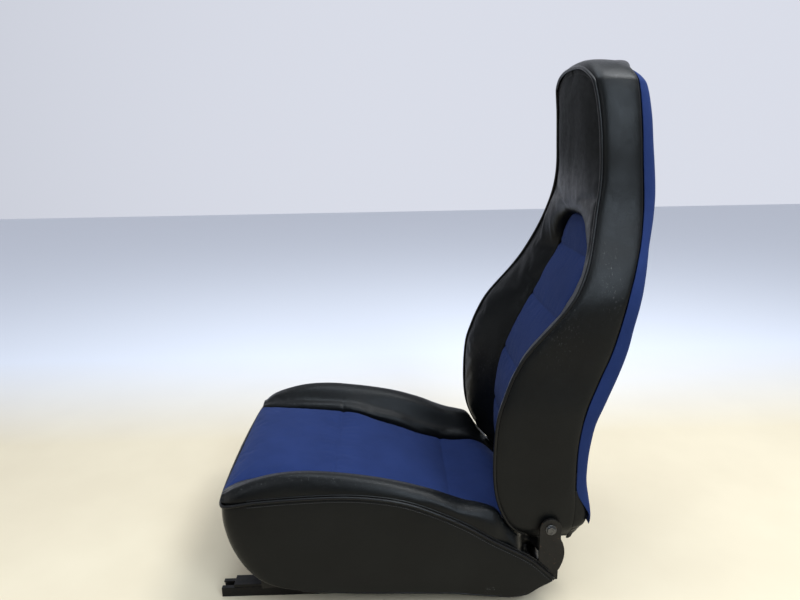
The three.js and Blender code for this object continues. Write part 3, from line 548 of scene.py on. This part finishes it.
def painted_steel(name, dark, light, rough=0.42, rust=0.5):
    f = Finish(name, Metallic=0.0, Specular_IOR_Level=0.2)
    clouds = f.band(f.noise(24, 6, roughness=0.65), 0.35, 0.65)
    spots = f.maths("MULTIPLY", f.band(f.noise(180, 5, roughness=0.7), 0.62, 0.7), rust)
    colour = f.mix(clouds, dark, light)
    colour = f.mix(spots, colour, (0.12, 0.065, 0.035, 1))
    f.feed("Base Color", colour)
    patchy = f.band(f.noise(70, 4), 0.3, 0.7, rough - 0.08, rough + 0.1)
    f.feed("Roughness", f.maths("ADD", patchy, f.maths("MULTIPLY", spots, 0.3)))
    f.bumps((f.noise(500, 3), 0.2, 0.0002), (f.noise(60, 4), 0.15, 0.0006))
    return f.material


def bare_metal(name, colour, rough, grime=0.4):
    f = Finish(name, Metallic=1.0)
    stain = f.maths("MULTIPLY", f.band(f.noise(130, 5, roughness=0.7), 0.45, 0.7), grime)
    f.feed("Base Color", f.mix(stain, colour, shade(colour, 0.25)))
    f.feed("Roughness", f.band(f.noise(240, 4), 0.3, 0.7, rough - 0.08, rough + 0.14))
    f.bumps((f.noise(700, 3, (1, 6, 6)), 0.2, 0.0001))
    return f.material


def moulded(name, colour, rough):
    f = Finish(name, Specular_IOR_Level=0.45)
    f.feed("Base Color", f.mix(f.band(f.noise(30, 5), 0.3, 0.7), colour, shade(colour, 1.5, 0.004)))
    f.feed("Roughness", f.band(f.noise(120, 4), 0.3, 0.7, rough - 0.06, rough + 0.1))
    f.bumps((f.noise(1300, 2), 0.3, 0.00015), (f.noise(60, 3), 0.1, 0.0004))
    return f.material


VINYL = leatherette("leatherette", (0.0028, 0.003, 0.0031, 1), (0.005, 0.0054, 0.0054, 1), 0.33)
PIPING = leatherette("piping_vinyl", (0.0026, 0.0026, 0.0027, 1), (0.0045, 0.0045, 0.0047, 1), 0.32,
                     gloss=0.2, dust=0.2)
CLOTH = woven("blue_cloth", (0.0114, 0.0238, 0.09, 1), (0.015, 0.0302, 0.113, 1))
COVER = woven("cover_cloth", (0.0098, 0.0215, 0.086, 1), (0.0124, 0.0275, 0.106, 1), 0.0015)
THREAD = moulded("thread", (0.03, 0.03, 0.031, 1), 0.6)
BLACK_STEEL = painted_steel("painted_steel", (0.005, 0.0045, 0.0042, 1), (0.009, 0.0078, 0.0068, 1))
FINISHES = {
    "black_steel": BLACK_STEEL,
    "zinc_steel": bare_metal("zinc", (0.11, 0.11, 0.112, 1), 0.45, 0.6),
    "spring_steel": bare_metal("spring_wire", (0.14, 0.14, 0.14, 1), 0.4, 0.6),
    "nylon": moulded("nylon", (0.55, 0.53, 0.47, 1), 0.5),
    "black_plastic": moulded("grip_plastic", (0.012, 0.012, 0.012, 1), 0.5),
    "black_vinyl": VINYL, "piping": PIPING, "blue_cloth": CLOTH, "blue_cover_cloth": COVER,
}


def finish_piece(obj, material, slot, body, *replaced):
    obj.data.materials.clear()
    obj.data.materials.append(material)
    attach(obj, body)
    if replaced:
        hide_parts(*replaced)
    return obj


# ---- seat cushion ----
CHANNELS = (-192, 48)  # where the cushion's cloth is sewn down across the seat
INSERT_FRONT, BOLSTER_FRONT, CREST_FRONT = -404, -398, -393


def valley(distance, width):
    return np.exp(-((distance / width) ** 2))


def sewn_at(place, channels, width):
    """1 in the channels that are sewn down, falling to 0 on either side."""
    return np.max([valley(place - c, width) for c in channels], axis=0)


def cushion_insert():
    y = INSERT_FRONT + (CUSHION_REAR - INSERT_FRONT) * np.linspace(0, 1, 118) ** 1.12
    u = np.linspace(-1, 1, 61)
    half = seam_at(np.maximum(y, -395)) - 0.5
    edge = seam_height(y)
    swell = np.minimum(1, np.minimum((CUSHION_REAR - y) / 60, (y + 410) / 20))
    top = edge[:, None] + 5.5 * swell[:, None] * (1 - np.abs(u) ** 3)
    top -= 2.6 * sewn_at(y, CHANNELS, 5)[:, None]
    border = (1 - np.abs(u)) * half[:, None]
    top -= 4.5 * valley(border, 5) * swell[:, None]
    x, yy = u * half[:, None], np.repeat(y[:, None], len(u), axis=1)
    bottom = np.repeat(np.minimum(foam_bottom(y), edge - 2)[:, None], len(u), axis=1)
    front = np.stack([x, yy, top], axis=2)
    back = np.stack([x * 0.995, yy, bottom], axis=2)
    obj = make_object("cushion_insert_pad", *shell(front, back, 2))
    co = coordinates(obj.data) / MM
    reach = np.interp(co[:, 1], y, half)
    crown = np.interp(co[:, 1], y, edge)
    held = (np.abs(co[:, 0]) > reach - 3) | (co[:, 2] < crown - 6)
    held |= (co[:, 1] < INSERT_FRONT + 3) | (co[:, 1] > CUSHION_REAR - 4)
    for c in CHANNELS:
        held |= np.abs(co[:, 1] - c) < 3.2
    inflate(obj, held.astype(float), 3.5, 6, slack=0.004)
    ripple(obj, lambda p, n: n[:, 2] * (
        0.7 * fractal(p, (46, 34, 60)) + 0.35 * fractal(p, (18, 15, 30), 5)
        - 1.5 * sewn_at(p[:, 1], CHANNELS, 2.6)))
    finish_piece(obj, CLOTH, "blue_cloth", "seat_base", "cushion_insert")


def cushion_bolster(side, sign):
    y = BOLSTER_FRONT + (CUSHION_REAR - BOLSTER_FRONT) * np.linspace(0, 1, 118) ** 1.08
    columns, rows_front, rows_back = 26, [], []
    for at in y:
        cad_y = max(at, CREST_FRONT)
        round_off = math.sqrt(max(0.0, 1 - ((CREST_FRONT - at) / 6) ** 2)) if at < CREST_FRONT else 1.0
        bottom = foam_bottom(cad_y - 4)
        crest = crest_height(cad_y) + 4 * valley(cad_y - 155, 22) + 4 * valley(cad_y - 130, 12)
        seam = max(seam_height(cad_y) - 1, bottom + 1)
        inner = seam_at(cad_y) + 0.6
        nose = max(0.0, (-354 - cad_y) / 40)
        outer = BASE_HALF - 8 - 16 * nose * nose - bolster_tail(cad_y)
        piping = piping_height(cad_y)
        width = outer - inner
        rise = crest - seam
        tuck = min(5.0, rise * 0.4)
        profile = [
            (inner - 0.4, seam - tuck), (inner + 1.8, seam + 0.1 * rise),
            (inner + 0.12 * width, seam + 0.23 * rise), (inner + 0.25 * width, seam + 0.32 * rise),
            (inner + 0.36 * width, seam + 0.52 * rise), (inner + 0.52 * width, seam + 0.86 * rise),
            (inner + 0.68 * width, crest - 1.2), (inner + 0.84 * width, crest - 0.8),
            (outer - 1.5, crest - 0.3 * max(crest - piping, 3) - 2),
            (outer + 2.2, crest - 0.66 * (crest - piping)), (outer + 3.4, piping + 2.6),
        ]
        line = smooth_line(profile, columns)
        middle = line.mean(axis=0)
        line = middle + (line - middle) * (0.55 + 0.45 * round_off)
        rows_front.append([(p[0], at, p[1]) for p in line])
        low = min(bottom, line[:, 1].min() - 1)
        rows_back.append([(x, at + (1 - round_off) * 3, low) for x in np.linspace(inner, outer, columns)])
    flip = (sign, 1, 1)
    front, back = np.array(rows_front) * flip, np.array(rows_back) * flip
    obj = make_object(f"cushion_bolster_{side}_pad", *shell(front, back, 2))
    free = np.zeros(front.shape[:2])
    free[3:-3, 2:-2] = 1
    inflate(obj, held_but(obj, front, free), 2, 4, slack=0.001)

    def folds(p, n):
        seam_line = valley(p[:, 2] - seam_height(p[:, 1]) - 2, 12)
        pucker = fractal(p, (30, 7, 30), 3) * seam_line
        pinch = np.sum([valley(p[:, 1] - c, 5) for c in CHANNELS], axis=0) * seam_line
        return n[:, 2] * (0.9 * pucker - 2.4 * pinch + 0.8 * fractal(p, (40, 60, 40)))

    ripple(obj, folds)
    mark(obj, "wear_and_highlight", lambda p: 0.35 * valley(p[:, 2] - crest_height(p[:, 1]) + 3, 8))
    finish_piece(obj, VINYL, "black_vinyl", "seat_base", f"cushion_bolster_{side}")


CORNER_PLAN = smooth_line([
    (BASE_HALF, 42), (BASE_HALF - 1, 25), (BASE_HALF - 5, 10), (BASE_HALF - 14, 0), (BASE_HALF - 32, -5),
    (180, -9), (90, -12), (0, -13)], 44)  # x, and how far behind the front's foremost line
SKIRT_REAR = 231


def corner_reach(z):
    return np.interp(z, [50, 70, 110], [12, 26, 42])


def under_piping(y):
    return piping_height(y) - 1.5 * slope_factor(piping_height, y)


def valance_low(q):
    return 49.4 + 28.6 * np.clip(q / 0.16, 0, 1) ** 1.5


def skirt():
    """One skin down the left side, round the front and back along the right side."""
    rows, side_columns = 34, 96
    w = np.linspace(0, 1, rows)
    left = []
    for c in np.linspace(0, 1, side_columns)[:-1]:
        y = np.full(rows, float(SKIRT_REAR))
        for _ in range(8):
            low, high = hem_height(y), under_piping(y)
            z = low + (high - low) * w
            y = SKIRT_REAR + (front_sweep(z) + corner_reach(z) - SKIRT_REAR) * c
        left.append((np.full(rows, BASE_HALF), y, z, 1.0, 0.0, np.clip((high - low) / 150, 0, 1)))
    turn = np.gradient(CORNER_PLAN, axis=0)
    turn /= np.linalg.norm(turn, axis=1, keepdims=True)
    for i, (x, ahead) in enumerate(CORNER_PLAN):
        q = i / (len(CORNER_PLAN) - 1)
        y = np.full(rows, -350.0)
        for _ in range(8):
            low = valance_low(q)
            high = under_piping(np.maximum(y[-1], -400)) if q < 0.2 else under_piping(-400)
            z = low + (high - low) * w
            y = front_sweep(z) + (ahead * corner_reach(z) / 42 if ahead > 0 else ahead)
        left.append((np.full(rows, x), y, z, -turn[i, 1], turn[i, 0], 1.0))
    front, back = [], []
    for x, y, z, out_x, out_y, tall in left:
        bulge = 2.4 * tall * np.sin(np.pi * w) ** 0.6 - 2.2 * w**8
        for grid, depth in ((front, bulge), (back, bulge - 3)):
            grid.append(np.stack([x + out_x * depth, y + out_y * depth, z], axis=1))
    obj = make_object("skirt_cover", *shell(both_halves(front), both_halves(back), 1))
    subdivide(obj)
    ripple(obj, lambda p, n: (1 - np.abs(n[:, 2])) * (0.9 * fractal(p, (90, 90, 120), 2)
                                                      + 0.35 * fractal(p, (40, 26, 70), 7)))
    mark(obj, "wear_and_highlight", lambda p: bump_at(p, (BASE_HALF, 113, 38), (40, 11, 9))
         + 0.3 * valley(p[:, 2] - hem_height(p[:, 1]), 5))
    finish_piece(obj, VINYL, "black_vinyl", "seat_base",
                 "side_skirt_left", "side_skirt_right", "front_valance")


def rear_gusset(side, sign, rear):
    """The leatherette that closes the gap between the cushion's tail and the skirt, ahead of the hinge."""
    columns, skirt_side = 16, BASE_HALF - 13.3
    y = np.linspace(126, rear, 26)
    tail = BASE_HALF - 14 - bolster_tail(y) - 40 * ease((y - 150) / 40)
    u = np.linspace(0, 1, columns)
    outer = under_piping(y) - 7
    inner = np.minimum(under_piping(y) - 4, seam_height(y) - 8)
    x = skirt_side + (tail - skirt_side)[:, None] * u
    z = outer[:, None] + (inner - outer)[:, None] * u - 5 * np.sin(np.pi * u)
    front = np.stack([sign * x, np.repeat(y[:, None], columns, axis=1), z], axis=2)
    obj = make_object(f"rear_gusset_{side}", *shell(front, front - (0, 0, 2), 1))
    subdivide(obj)
    ripple(obj, lambda p, n: n[:, 2] * 1.6 * fractal(p, (26, 11, 30), 3))
    finish_piece(obj, VINYL, "black_vinyl", "seat_base")


def base_piping():
    y = np.linspace(234, -352, 90)
    side_line = np.stack([np.full_like(y, BASE_HALF - 2.6), y, piping_height(y)], axis=1)
    corner = []
    for x, ahead in CORNER_PLAN[3:]:
        z = piping_height(-395 + ahead)
        corner.append((x - 1.5, front_sweep(z) + ahead + 0.5, z - 0.5))
    left = np.concatenate([side_line, corner])[::3]
    path = smooth_line(np.concatenate([left, [[0, -408, 224.6]], (left * (-1, 1, 1))[::-1]]), 420)
    obj = sweep("base_piping_cord", path, PIPING_R, 10)
    finish_piece(obj, PIPING, "piping", "seat_base", "base_piping_left", "base_piping_right")


def side_seams(side, sign):
    """The stitches under the piping, the welt above it and the rolled hem at the skirt's foot."""
    def line(y, out, z):
        return np.stack([np.full_like(y, sign * (BASE_HALF + out)), y, z], axis=1)

    y = np.linspace(225, -345, 200)
    slope = slope_factor(piping_height, y)
    stitches = threads(f"skirt_stitching_{side}", line(y, 0.5, under_piping(y) - 5 * slope),
                       np.tile((sign, 0, 0.1), (len(y), 1)))
    finish_piece(stitches, THREAD, "piping", "seat_base")
    welt = sweep(f"bolster_welt_{side}", line(y, -4.6, piping_height(y) + 4.6 * slope), 1.5, 8)
    finish_piece(welt, PIPING, "piping", "seat_base")
    y = np.linspace(SKIRT_REAR, -250, 150)
    hem = sweep(f"skirt_hem_{side}", line(y, -1.2, hem_height(y) + 0.6), 2.2, 8)
    finish_piece(hem, PIPING, "piping", "seat_base")


# ---- backrest ----
BACK_CHANNELS = (275, 405, 535, 655)  # where the backrest's cloth is sewn down


def foam_rear(z):
    """The foam's rear face, ahead of the frame's hoop."""
    return np.where(z < 265, 203, back_line(np.minimum(z, TOP_CORNER)) - 51)


def back_insert():
    rows, columns = 118, 45
    z = np.linspace(128, 730, rows)
    u = np.linspace(-1, 1, columns)
    half = np.maximum(insert_half(np.minimum(z, 729)) - 1.2, 30)
    face = insert_face(z)
    sewn = sewn_at(z, BACK_CHANNELS, 5)
    border = (1 - np.abs(u)) * half[:, None]
    depth = face[:, None] - 5 * (1 - np.abs(u) ** 3) + 2.6 * sewn[:, None] + 5 * valley(border, 5)
    x, zz = u * half[:, None], np.repeat(z[:, None], columns, axis=1)
    rear = np.maximum(foam_rear(z), face + 30)
    front = np.stack([x, depth, zz], axis=2)
    back = np.stack([x, np.repeat(rear[:, None], columns, axis=1), zz], axis=2)
    obj = make_object("back_insert_pad", *shell(front, back, 2))
    free = np.zeros(front.shape[:2])
    free[2:-2, 1:-1] = 1
    for c in BACK_CHANNELS:
        free[np.abs(z - c) < 3] = 0
    inflate(obj, held_but(obj, front, free), 3, 5, slack=0.004)
    ripple(obj, lambda p, n: -n[:, 1] * (
        0.7 * fractal(p, (40, 60, 34)) + 0.35 * fractal(p, (18, 30, 15), 5)
        - 1.6 * sewn_at(p[:, 2], BACK_CHANNELS, 2.8)))
    finish_piece(obj, CLOTH, "blue_cloth", "backrest", "back_insert")


BOLSTER_RISE = curve_through([
    (0, 0), (0.05, 0.05), (0.25, 0.34), (0.5, 0.7), (0.75, 0.95), (0.92, 1.01), (1, 0.99)])
STITCH_INSET = 13.2  # from the outline in to the topstitched seam


def back_front_pad():
    """The leatherette that frames the insert: both bolsters and the headrest's face, over one foam body."""
    stations = np.linspace(0.005, 1, 300)
    outline = np.array([boxing_station(t)[:2] for t in stations])
    along = distances(outline)
    along /= along[-1]
    outer = resample(outline, 900)
    arch_heights = (*np.linspace(165, 700, 60), *np.linspace(703, 731, 20))
    arch = resample([(150, 138)] + [(insert_half(z), z) for z in arch_heights], 900)
    centre = resample([(0, 735), (0, 1006)], 100)
    rows, columns, arch_rows = 130, 34, 94
    part = np.interp(np.linspace(0, 1, arch_rows), [0, 0.49, 0.76, 0.89, 1], [0, 0.44, 0.665, 0.83, 1])
    inner = np.concatenate([
        interpolate(part, np.linspace(0, 1, 900), arch),
        interpolate(np.linspace(0, 1, rows - arch_rows), np.linspace(0, 1, 100), centre)])
    share = np.interp(np.linspace(0, 1, rows), [0, 0.35, 0.55, 0.68, 0.74, 0.9, 1],
                      [0, 0.322, 0.51, 0.65, 0.71, 0.885, 0.999])
    rim = interpolate(share, np.linspace(0, 1, 900), outer)
    rim -= 4.2 * np.array([boxing_station(t)[2:] for t in np.interp(share, along, stations)])
    u = np.linspace(1, 0, columns)[None, :, None]
    plan = rim[:, None] * u + inner[:, None] * (1 - u)
    x, z = plan[:, :, 0], plan[:, :, 1]

    from_insert = reach_to(plan.reshape(-1, 2), arch)[0].reshape(x.shape)
    from_rim = reach_to(plan.reshape(-1, 2), outer)[0].reshape(x.shape)
    from_rim = np.maximum(from_rim - 4, 0)
    across = from_insert / (from_insert + from_rim + 1e-6)
    bolster = BOLSTER_RISE(across)
    lip = np.sqrt(1 - (1 - np.clip(from_insert / 30, 0, 1)) ** 2)
    head = ease((z - 630) / 95)
    face = front_edge(z) - 9 * ease((z - 720) / 90) * (1 - valley(from_rim, 42))
    floor = insert_face(z) + 1.5
    face -= 8 * ease((182 - z) / 30) * np.minimum(from_rim / 12, 1)
    y = floor + (bolster * (1 - head) + lip * head) * (face + 1.5 - floor)
    y += 1.4 * valley(from_rim - 9, 2.4) * ease((z - 200) / 100)  # the topstitched seam inside the piping
    z = z - 6 * ease((150 - z) / 14)
    front = np.stack([x, y, z], axis=2)
    back = np.stack([x, np.maximum(foam_rear(z), y + 12), z], axis=2)
    obj = make_object("back_bolster_pad", *mirrored(*shell(front, back, 2, open_from=arch_rows)))
    free = np.zeros(front.shape[:2])
    free[2:-2, 2:-2] = 1
    free[arch_rows + 3:-2, -2:] = 1
    held = np.minimum(held_but(obj, front, free), held_but(obj, front * (-1, 1, 1), free))
    inflate(obj, held, 2.5, 5, slack=0.004)
    ripple(obj, lambda p, n: np.clip(-n[:, 1] * 1.4 + 0.3, 0, 1) * (
        1.0 * fractal(p, (50, 50, 90), 1) + 0.4 * fractal(p, (20, 20, 44), 6)))
    mark(obj, "wear_and_highlight", lambda p: 0.3 * bump_at(p, (-170, 190, 330), (40, 60, 60)))
    mark(obj, "matt", lambda p: ease((p[:, 2] - 770) / 110))
    finish_piece(obj, VINYL, "black_vinyl", "backrest",
                 "back_bolster_left", "back_bolster_right", "headrest_pad")

    line = []
    for t in np.linspace(0.1, 1, 160):
        x, z, out_x, out_z = boxing_station(t)
        line.append((x - STITCH_INSET * out_x, front_edge(z), z - STITCH_INSET * out_z))
    path, up = lay_on(obj, both_halves(line), (0, 1, 0))
    finish_piece(threads("back_stitching", path, up), THREAD, "piping", "backrest")


def boxing():
    """The band round the backrest's edge, from the left side's bottom over the top to the right side's."""
    across = 26
    front, back = [], []
    for t in (*np.linspace(0, 0.84, 120), *np.linspace(0.84, 1, 40)[1:]):
        x, z, out_x, out_z = boxing_station(t)
        depth_end, y_end = boxing_rear(t)
        over = -depth_end / ROLL_OVER
        y0 = front_edge(z) + 1.2 * slope_factor(front_edge, min(z, 1000))
        y1 = side_seam(z)
        wide = y1 - y0
        full = 4 + 3 * np.clip((z - 700) / 260, 0, 1) + 5 * ease((t - 0.84) / 0.1) + 2 * valley(z - 200, 60)
        full *= 0.35 + 0.65 * ease((z - 165) / 70)
        brink = (0.5 * full * (1 - over) + 7.5 * over, (y0 + 0.93 * wide) * (1 - over) + 389 * over)
        line = smooth_line([
            (-1.6, y0), (0.55 * full, y0 + 0.07 * wide), (0.9 * full, y0 + 0.2 * wide),
            (full, y0 + 0.45 * wide), (0.88 * full, y0 + 0.74 * wide), brink,
            (depth_end - 1 * (1 - over), y_end - 0.4)], across)
        thick = 1.5 + 1.5 * ease((z - 165) / 60)
        for grid, inset in ((front, 0), (back, thick)):
            depth, y = line[:, 0] - inset, line[:, 1] - inset * over * np.linspace(0, 1, across) ** 4
            grid.append(np.stack([x + out_x * depth, y, z + out_z * depth], axis=1))
    roll = [front[0] - (2 * (1 - math.cos(a)), 0, 3.5 * math.sin(a)) for a in (1.3, 0.65)]
    front = both_halves(roll + front)
    back = both_halves([row - (1.5, 0, 0) for row in roll] + back)
    obj = make_object("back_boxing_cover", *shell(front, back, 1))
    subdivide(obj)

    def folds(p, n):
        pulled = valley(p[:, 1] - 350, 50) * valley(p[:, 2] - 712, 36) * (np.abs(p[:, 0]) > 100)
        creases = np.sin(p[:, 2] / 0.95 + 2.6 * fractal(p, (200, 50, 34), 8))
        creases *= np.clip(fractal(p, (80, 30, 16), 2) + 0.3, 0, 1)
        return 0.6 * fractal(p, (70, 60, 90), 3) + 0.3 * fractal(p, (30, 24, 40), 9) + 0.6 * pulled * creases

    ripple(obj, folds)
    # lighter patches at the three places where highlights fall on the boxing: painted highlights, with some
    # scuffing
    mark(obj, "wear_and_highlight", lambda p: 0.95 * bump_at(p, (222, 322, 640), (60, 16, 48))
         + 0.8 * bump_at(p, (124, 345, 985), (16, 30, 6)) + 0.3 * bump_at(p, (240, 230, 560), (60, 40, 60)))
    finish_piece(obj, VINYL, "black_vinyl", "backrest",
                 "back_side_panel_left", "back_side_panel_right", "back_top_panel")


def back_piping():
    side = [(half_width(z) - 1.5, front_edge(z), z) for z in np.linspace(138, TOP_CORNER, 60)]
    for part in (0.2, 0.4, 0.6, 0.8):
        x, z, _, _ = boxing_station(CORNER_AT + (1 - CORNER_AT) * part)
        side.append((x, front_edge(z), z - 2))
    side.append((0, front_edge(1010), BOXING_TOP - 2))
    path = smooth_line(both_halves(side), 620)
    finish_piece(sweep("back_piping_cord", path, PIPING_R, 10), PIPING, "piping", "backrest", "back_piping")


FLAP_TOP = 163  # where the cloth cover ends and the leatherette flap below it begins
TURN_IN = [(0, 0.03), (0.8, 0.2), (2, 0.42), (4, 0.66), (7, 0.83), (11, 0.93), (16, 0.98), (24, 1)]


def back_skin(name, heights, set_in, sag_depth, loose_from):
    """A curved sheet over the back of the shell, between two heights, that turns in at its edges. Below
    loose_from its edges draw back from the boxing."""
    rim = []
    for t in np.linspace(0, 1, 700):
        x, z, out_x, out_z = boxing_station(t)
        depth, y = boxing_rear(t)
        loose = ease((loose_from - z) / 75) * 0.96
        rim.append((x + out_x * depth, z + out_z * depth, y * (1 - loose) + back_line(z) * loose))
    rim = np.array([(rim[0][0] - 3, 120, rim[0][2] - 2)] + rim)
    reach = np.maximum.accumulate(rim[:, 1])
    edge = np.array(TURN_IN)[:, 0]
    turn = edge[-1]
    x, z = [], []
    for height in heights:
        half = np.interp(height, reach, rim[:, 0])
        x.append(half - np.concatenate([edge, np.linspace(turn, half, 26)[1:]]))
        z.append(np.full(len(x[0]), float(height)))
    x, z = np.array(x), np.array(z)
    column = np.arange(x.shape[1])
    inward, nearest = reach_to(np.stack([x, z], axis=2).reshape(-1, 2), rim[:, :2])
    inward = np.where(column == 0, 0, inward.reshape(x.shape))
    seam = np.minimum(rim[nearest, 2].reshape(x.shape), back_line(z) - 2)
    sag = sag_depth * np.clip((inward - turn) / 110, 0, 1) ** 1.5
    sag = sag * np.sin(math.pi * np.clip((z - 190) / 760, 0, 1))
    y = seam + (back_line(z) - seam) * curve_through(TURN_IN)(np.minimum(inward, turn)) - sag - set_in
    front = np.stack([x, y, z], axis=2)
    sideways = np.interp(column, [0, 5, 9], [2.4, 1.4, 0])
    forward = np.interp(column, [0, 3, 7], [0, 1.2, 2.4])
    inset = np.stack([-sideways, -forward, 0 * column], axis=1)
    obj = make_object(name, *mirrored(*shell(front, front + inset, 1, open_from=0)))
    subdivide(obj)
    return obj


def back_cover():
    heights = [*np.linspace(FLAP_TOP, 940, 90), *np.linspace(944, 1003, 20)]
    obj = back_skin("back_cover_cloth", heights, 0, 6, 242)
    ripple(obj, lambda p, n: np.clip(n[:, 1], 0, 1) * (1.6 * fractal(p, (60, 90, 160), 2)
                                                       + 0.5 * fractal(p, (26, 40, 60), 7)))
    finish_piece(obj, COVER, "blue_cover_cloth", "backrest", "back_cover")


def lower_flap():
    """The loose leatherette strip under the cloth cover, turned up beneath the shell."""
    obj = back_skin("back_lower_flap", np.linspace(124, 236, 30), 2.8, 0, 0)
    ripple(obj, lambda p, n: 2.4 * fractal(p, (22, 40, 16), 4)
           * np.clip((FLAP_TOP - p[:, 2]) / 16, 0, 1))
    finish_piece(obj, VINYL, "black_vinyl", "backrest", "back_cover")


cushion_insert()
for side, sign in (("left", 1), ("right", -1)):
    cushion_bolster(side, sign)
skirt()
rear_gusset("left", 1, 229)
rear_gusset("right", -1, 194)  # it stops ahead of the recline lever's shaft
base_piping()
for side, sign in (("left", 1), ("right", -1)):
    side_seams(side, sign)
back_insert()
back_front_pad()
boxing()
back_piping()
back_cover()
lower_flap()


# ---- carried-over CAD pieces: softened edges and the record's finishes ----
def soften(obj, width, angle):
    mesh = obj.data
    if "custom_normal" in mesh.attributes:
        mesh.attributes.remove(mesh.attributes["custom_normal"])
    mesh.polygons.foreach_set("use_smooth", [True] * len(mesh.polygons))
    weld = obj.modifiers.new("weld", "WELD")
    weld.merge_threshold = 1e-5
    bevel = obj.modifiers.new("edges", "BEVEL")
    bevel.width, bevel.segments, bevel.limit_method = width, 2, "ANGLE"
    bevel.angle_limit, bevel.harden_normals = math.radians(angle), True
    bevel.use_clamp_overlap = True


ROUND = ("back_hoop", "slide_release_bar")  # round bars, like the springs: only their ends have an edge
for name, obj in nodes.items():
    if obj.hide_render:
        continue
    slot = obj.data.materials[0].name.split(".")[0]
    obj.data.materials[0] = FINISHES[slot]
    if name in ROUND or "spring" in name:
        soften(obj, 0.00001, 80)
    else:
        soften(obj, 0.0006, 32)


# ---- floor, light ----
def studio():
    size, rows = 7.0, 25
    line = np.linspace(-size, size, rows) / MM
    grid = np.stack([*np.meshgrid(line, line, indexing="ij"), np.zeros((rows, rows))], axis=2)
    corners = [i * rows + j for i in range(rows - 1) for j in range(rows - 1)]
    faces = [(a, a + rows, a + rows + 1, a + 1) for a in corners]
    floor = make_object("floor", grid.reshape(-1, 3), faces)
    f = Finish("floor", Roughness=0.75, Specular_IOR_Level=0.3)
    warm = f.mix(f.band(f.noise(2.5, 5), 0.35, 0.65), (0.63, 0.54, 0.39, 1), (0.67, 0.58, 0.423, 1))
    along = f.node("ShaderNodeSeparateXYZ", Vector=f.place).outputs[0]
    f.feed("Base Color", f.mix(f.band(along, -0.5, -1.3), warm, (0.76, 0.78, 0.84, 1)))
    floor.data.materials.append(f.material)

    # soft light from a pale ceiling and from behind, with a darker room to the left and the front
    world = bpy.data.worlds.new("studio")
    world.use_nodes = True
    tree = world.node_tree
    direction = tree.nodes.new("ShaderNodeTexCoord").outputs["Generated"]
    split, toward = tree.nodes.new("ShaderNodeSeparateXYZ"), tree.nodes.new("ShaderNodeVectorMath")
    toward.operation = "DOT_PRODUCT"
    toward.inputs[1].default_value = (0.92, -0.39, 0)
    tree.links.new(direction, split.inputs[0])
    tree.links.new(direction, toward.inputs[0])

    def blend(value, low, high, a, b):
        share = tree.nodes.new("ShaderNodeMapRange")
        share.interpolation_type = "SMOOTHSTEP"
        share.inputs["From Min"].default_value, share.inputs["From Max"].default_value = low, high
        tree.links.new(value, share.inputs["Value"])
        mix = tree.nodes.new("ShaderNodeMix")
        mix.data_type = "RGBA"
        tree.links.new(share.outputs[0], mix.inputs[0])
        for socket, colour in ((6, a), (7, b)):
            if isinstance(colour, bpy.types.NodeSocket):
                tree.links.new(colour, mix.inputs[socket])
            else:
                mix.inputs[socket].default_value = colour
        return mix.outputs[2]

    level = blend(toward.outputs["Value"], -1.0, 0.6, (0.7, 0.725, 0.81, 1), (0.13, 0.14, 0.165, 1))
    sky = blend(split.outputs[2], 0.4, 0.85, level, (0.7, 0.74, 0.82, 1))
    tree.links.new(sky, tree.nodes["Background"].inputs["Color"])
    scene.world = world
    for name, place, aim, size, power, colour in (
        ("key", (0.3, 1.1, 2.6), (0, 0.0, 0.3), 0.95, 46, (0.93, 0.97, 1)),
        ("top", (-0.4, 0.0, 2.9), (0, 0, 0.3), 1.6, 22, (0.88, 0.94, 1)),
        ("head", (2.1, 0.95, 1.35), (0.15, 0.35, 0.9), 0.8, 21, (0.74, 0.87, 1)),
        ("shoulder", (1.75, 1.0, 2.05), (0.2, 0.3, 0.65), 0.6, 20, (0.72, 0.86, 1)),
        ("front", (0.5, -2.7, 0.6), (0.0, 0.0, 0.45), 1.3, 6, (0.9, 0.95, 1)),
        ("side", (1.75, -1.6, 1.6), (0.2, 0.2, 0.5), 0.7, 8, (0.85, 0.93, 1)),
        ("over", (0.1, -0.35, 2.9), (-0.1, -0.2, 0.3), 0.7, 12, (0.66, 0.84, 1)),
    ):
        data = bpy.data.lights.new(name, "AREA")
        data.size, data.energy, data.color = size, power, colour
        light = bpy.data.objects.new(name, data)
        light.visible_camera = False
        turned = (Vector(aim) - Vector(place)).to_track_quat("-Z", "Y")
        light.matrix_world = Matrix.Translation(place) @ turned.to_matrix().to_4x4()
        scene.collection.objects.link(light)


studio()
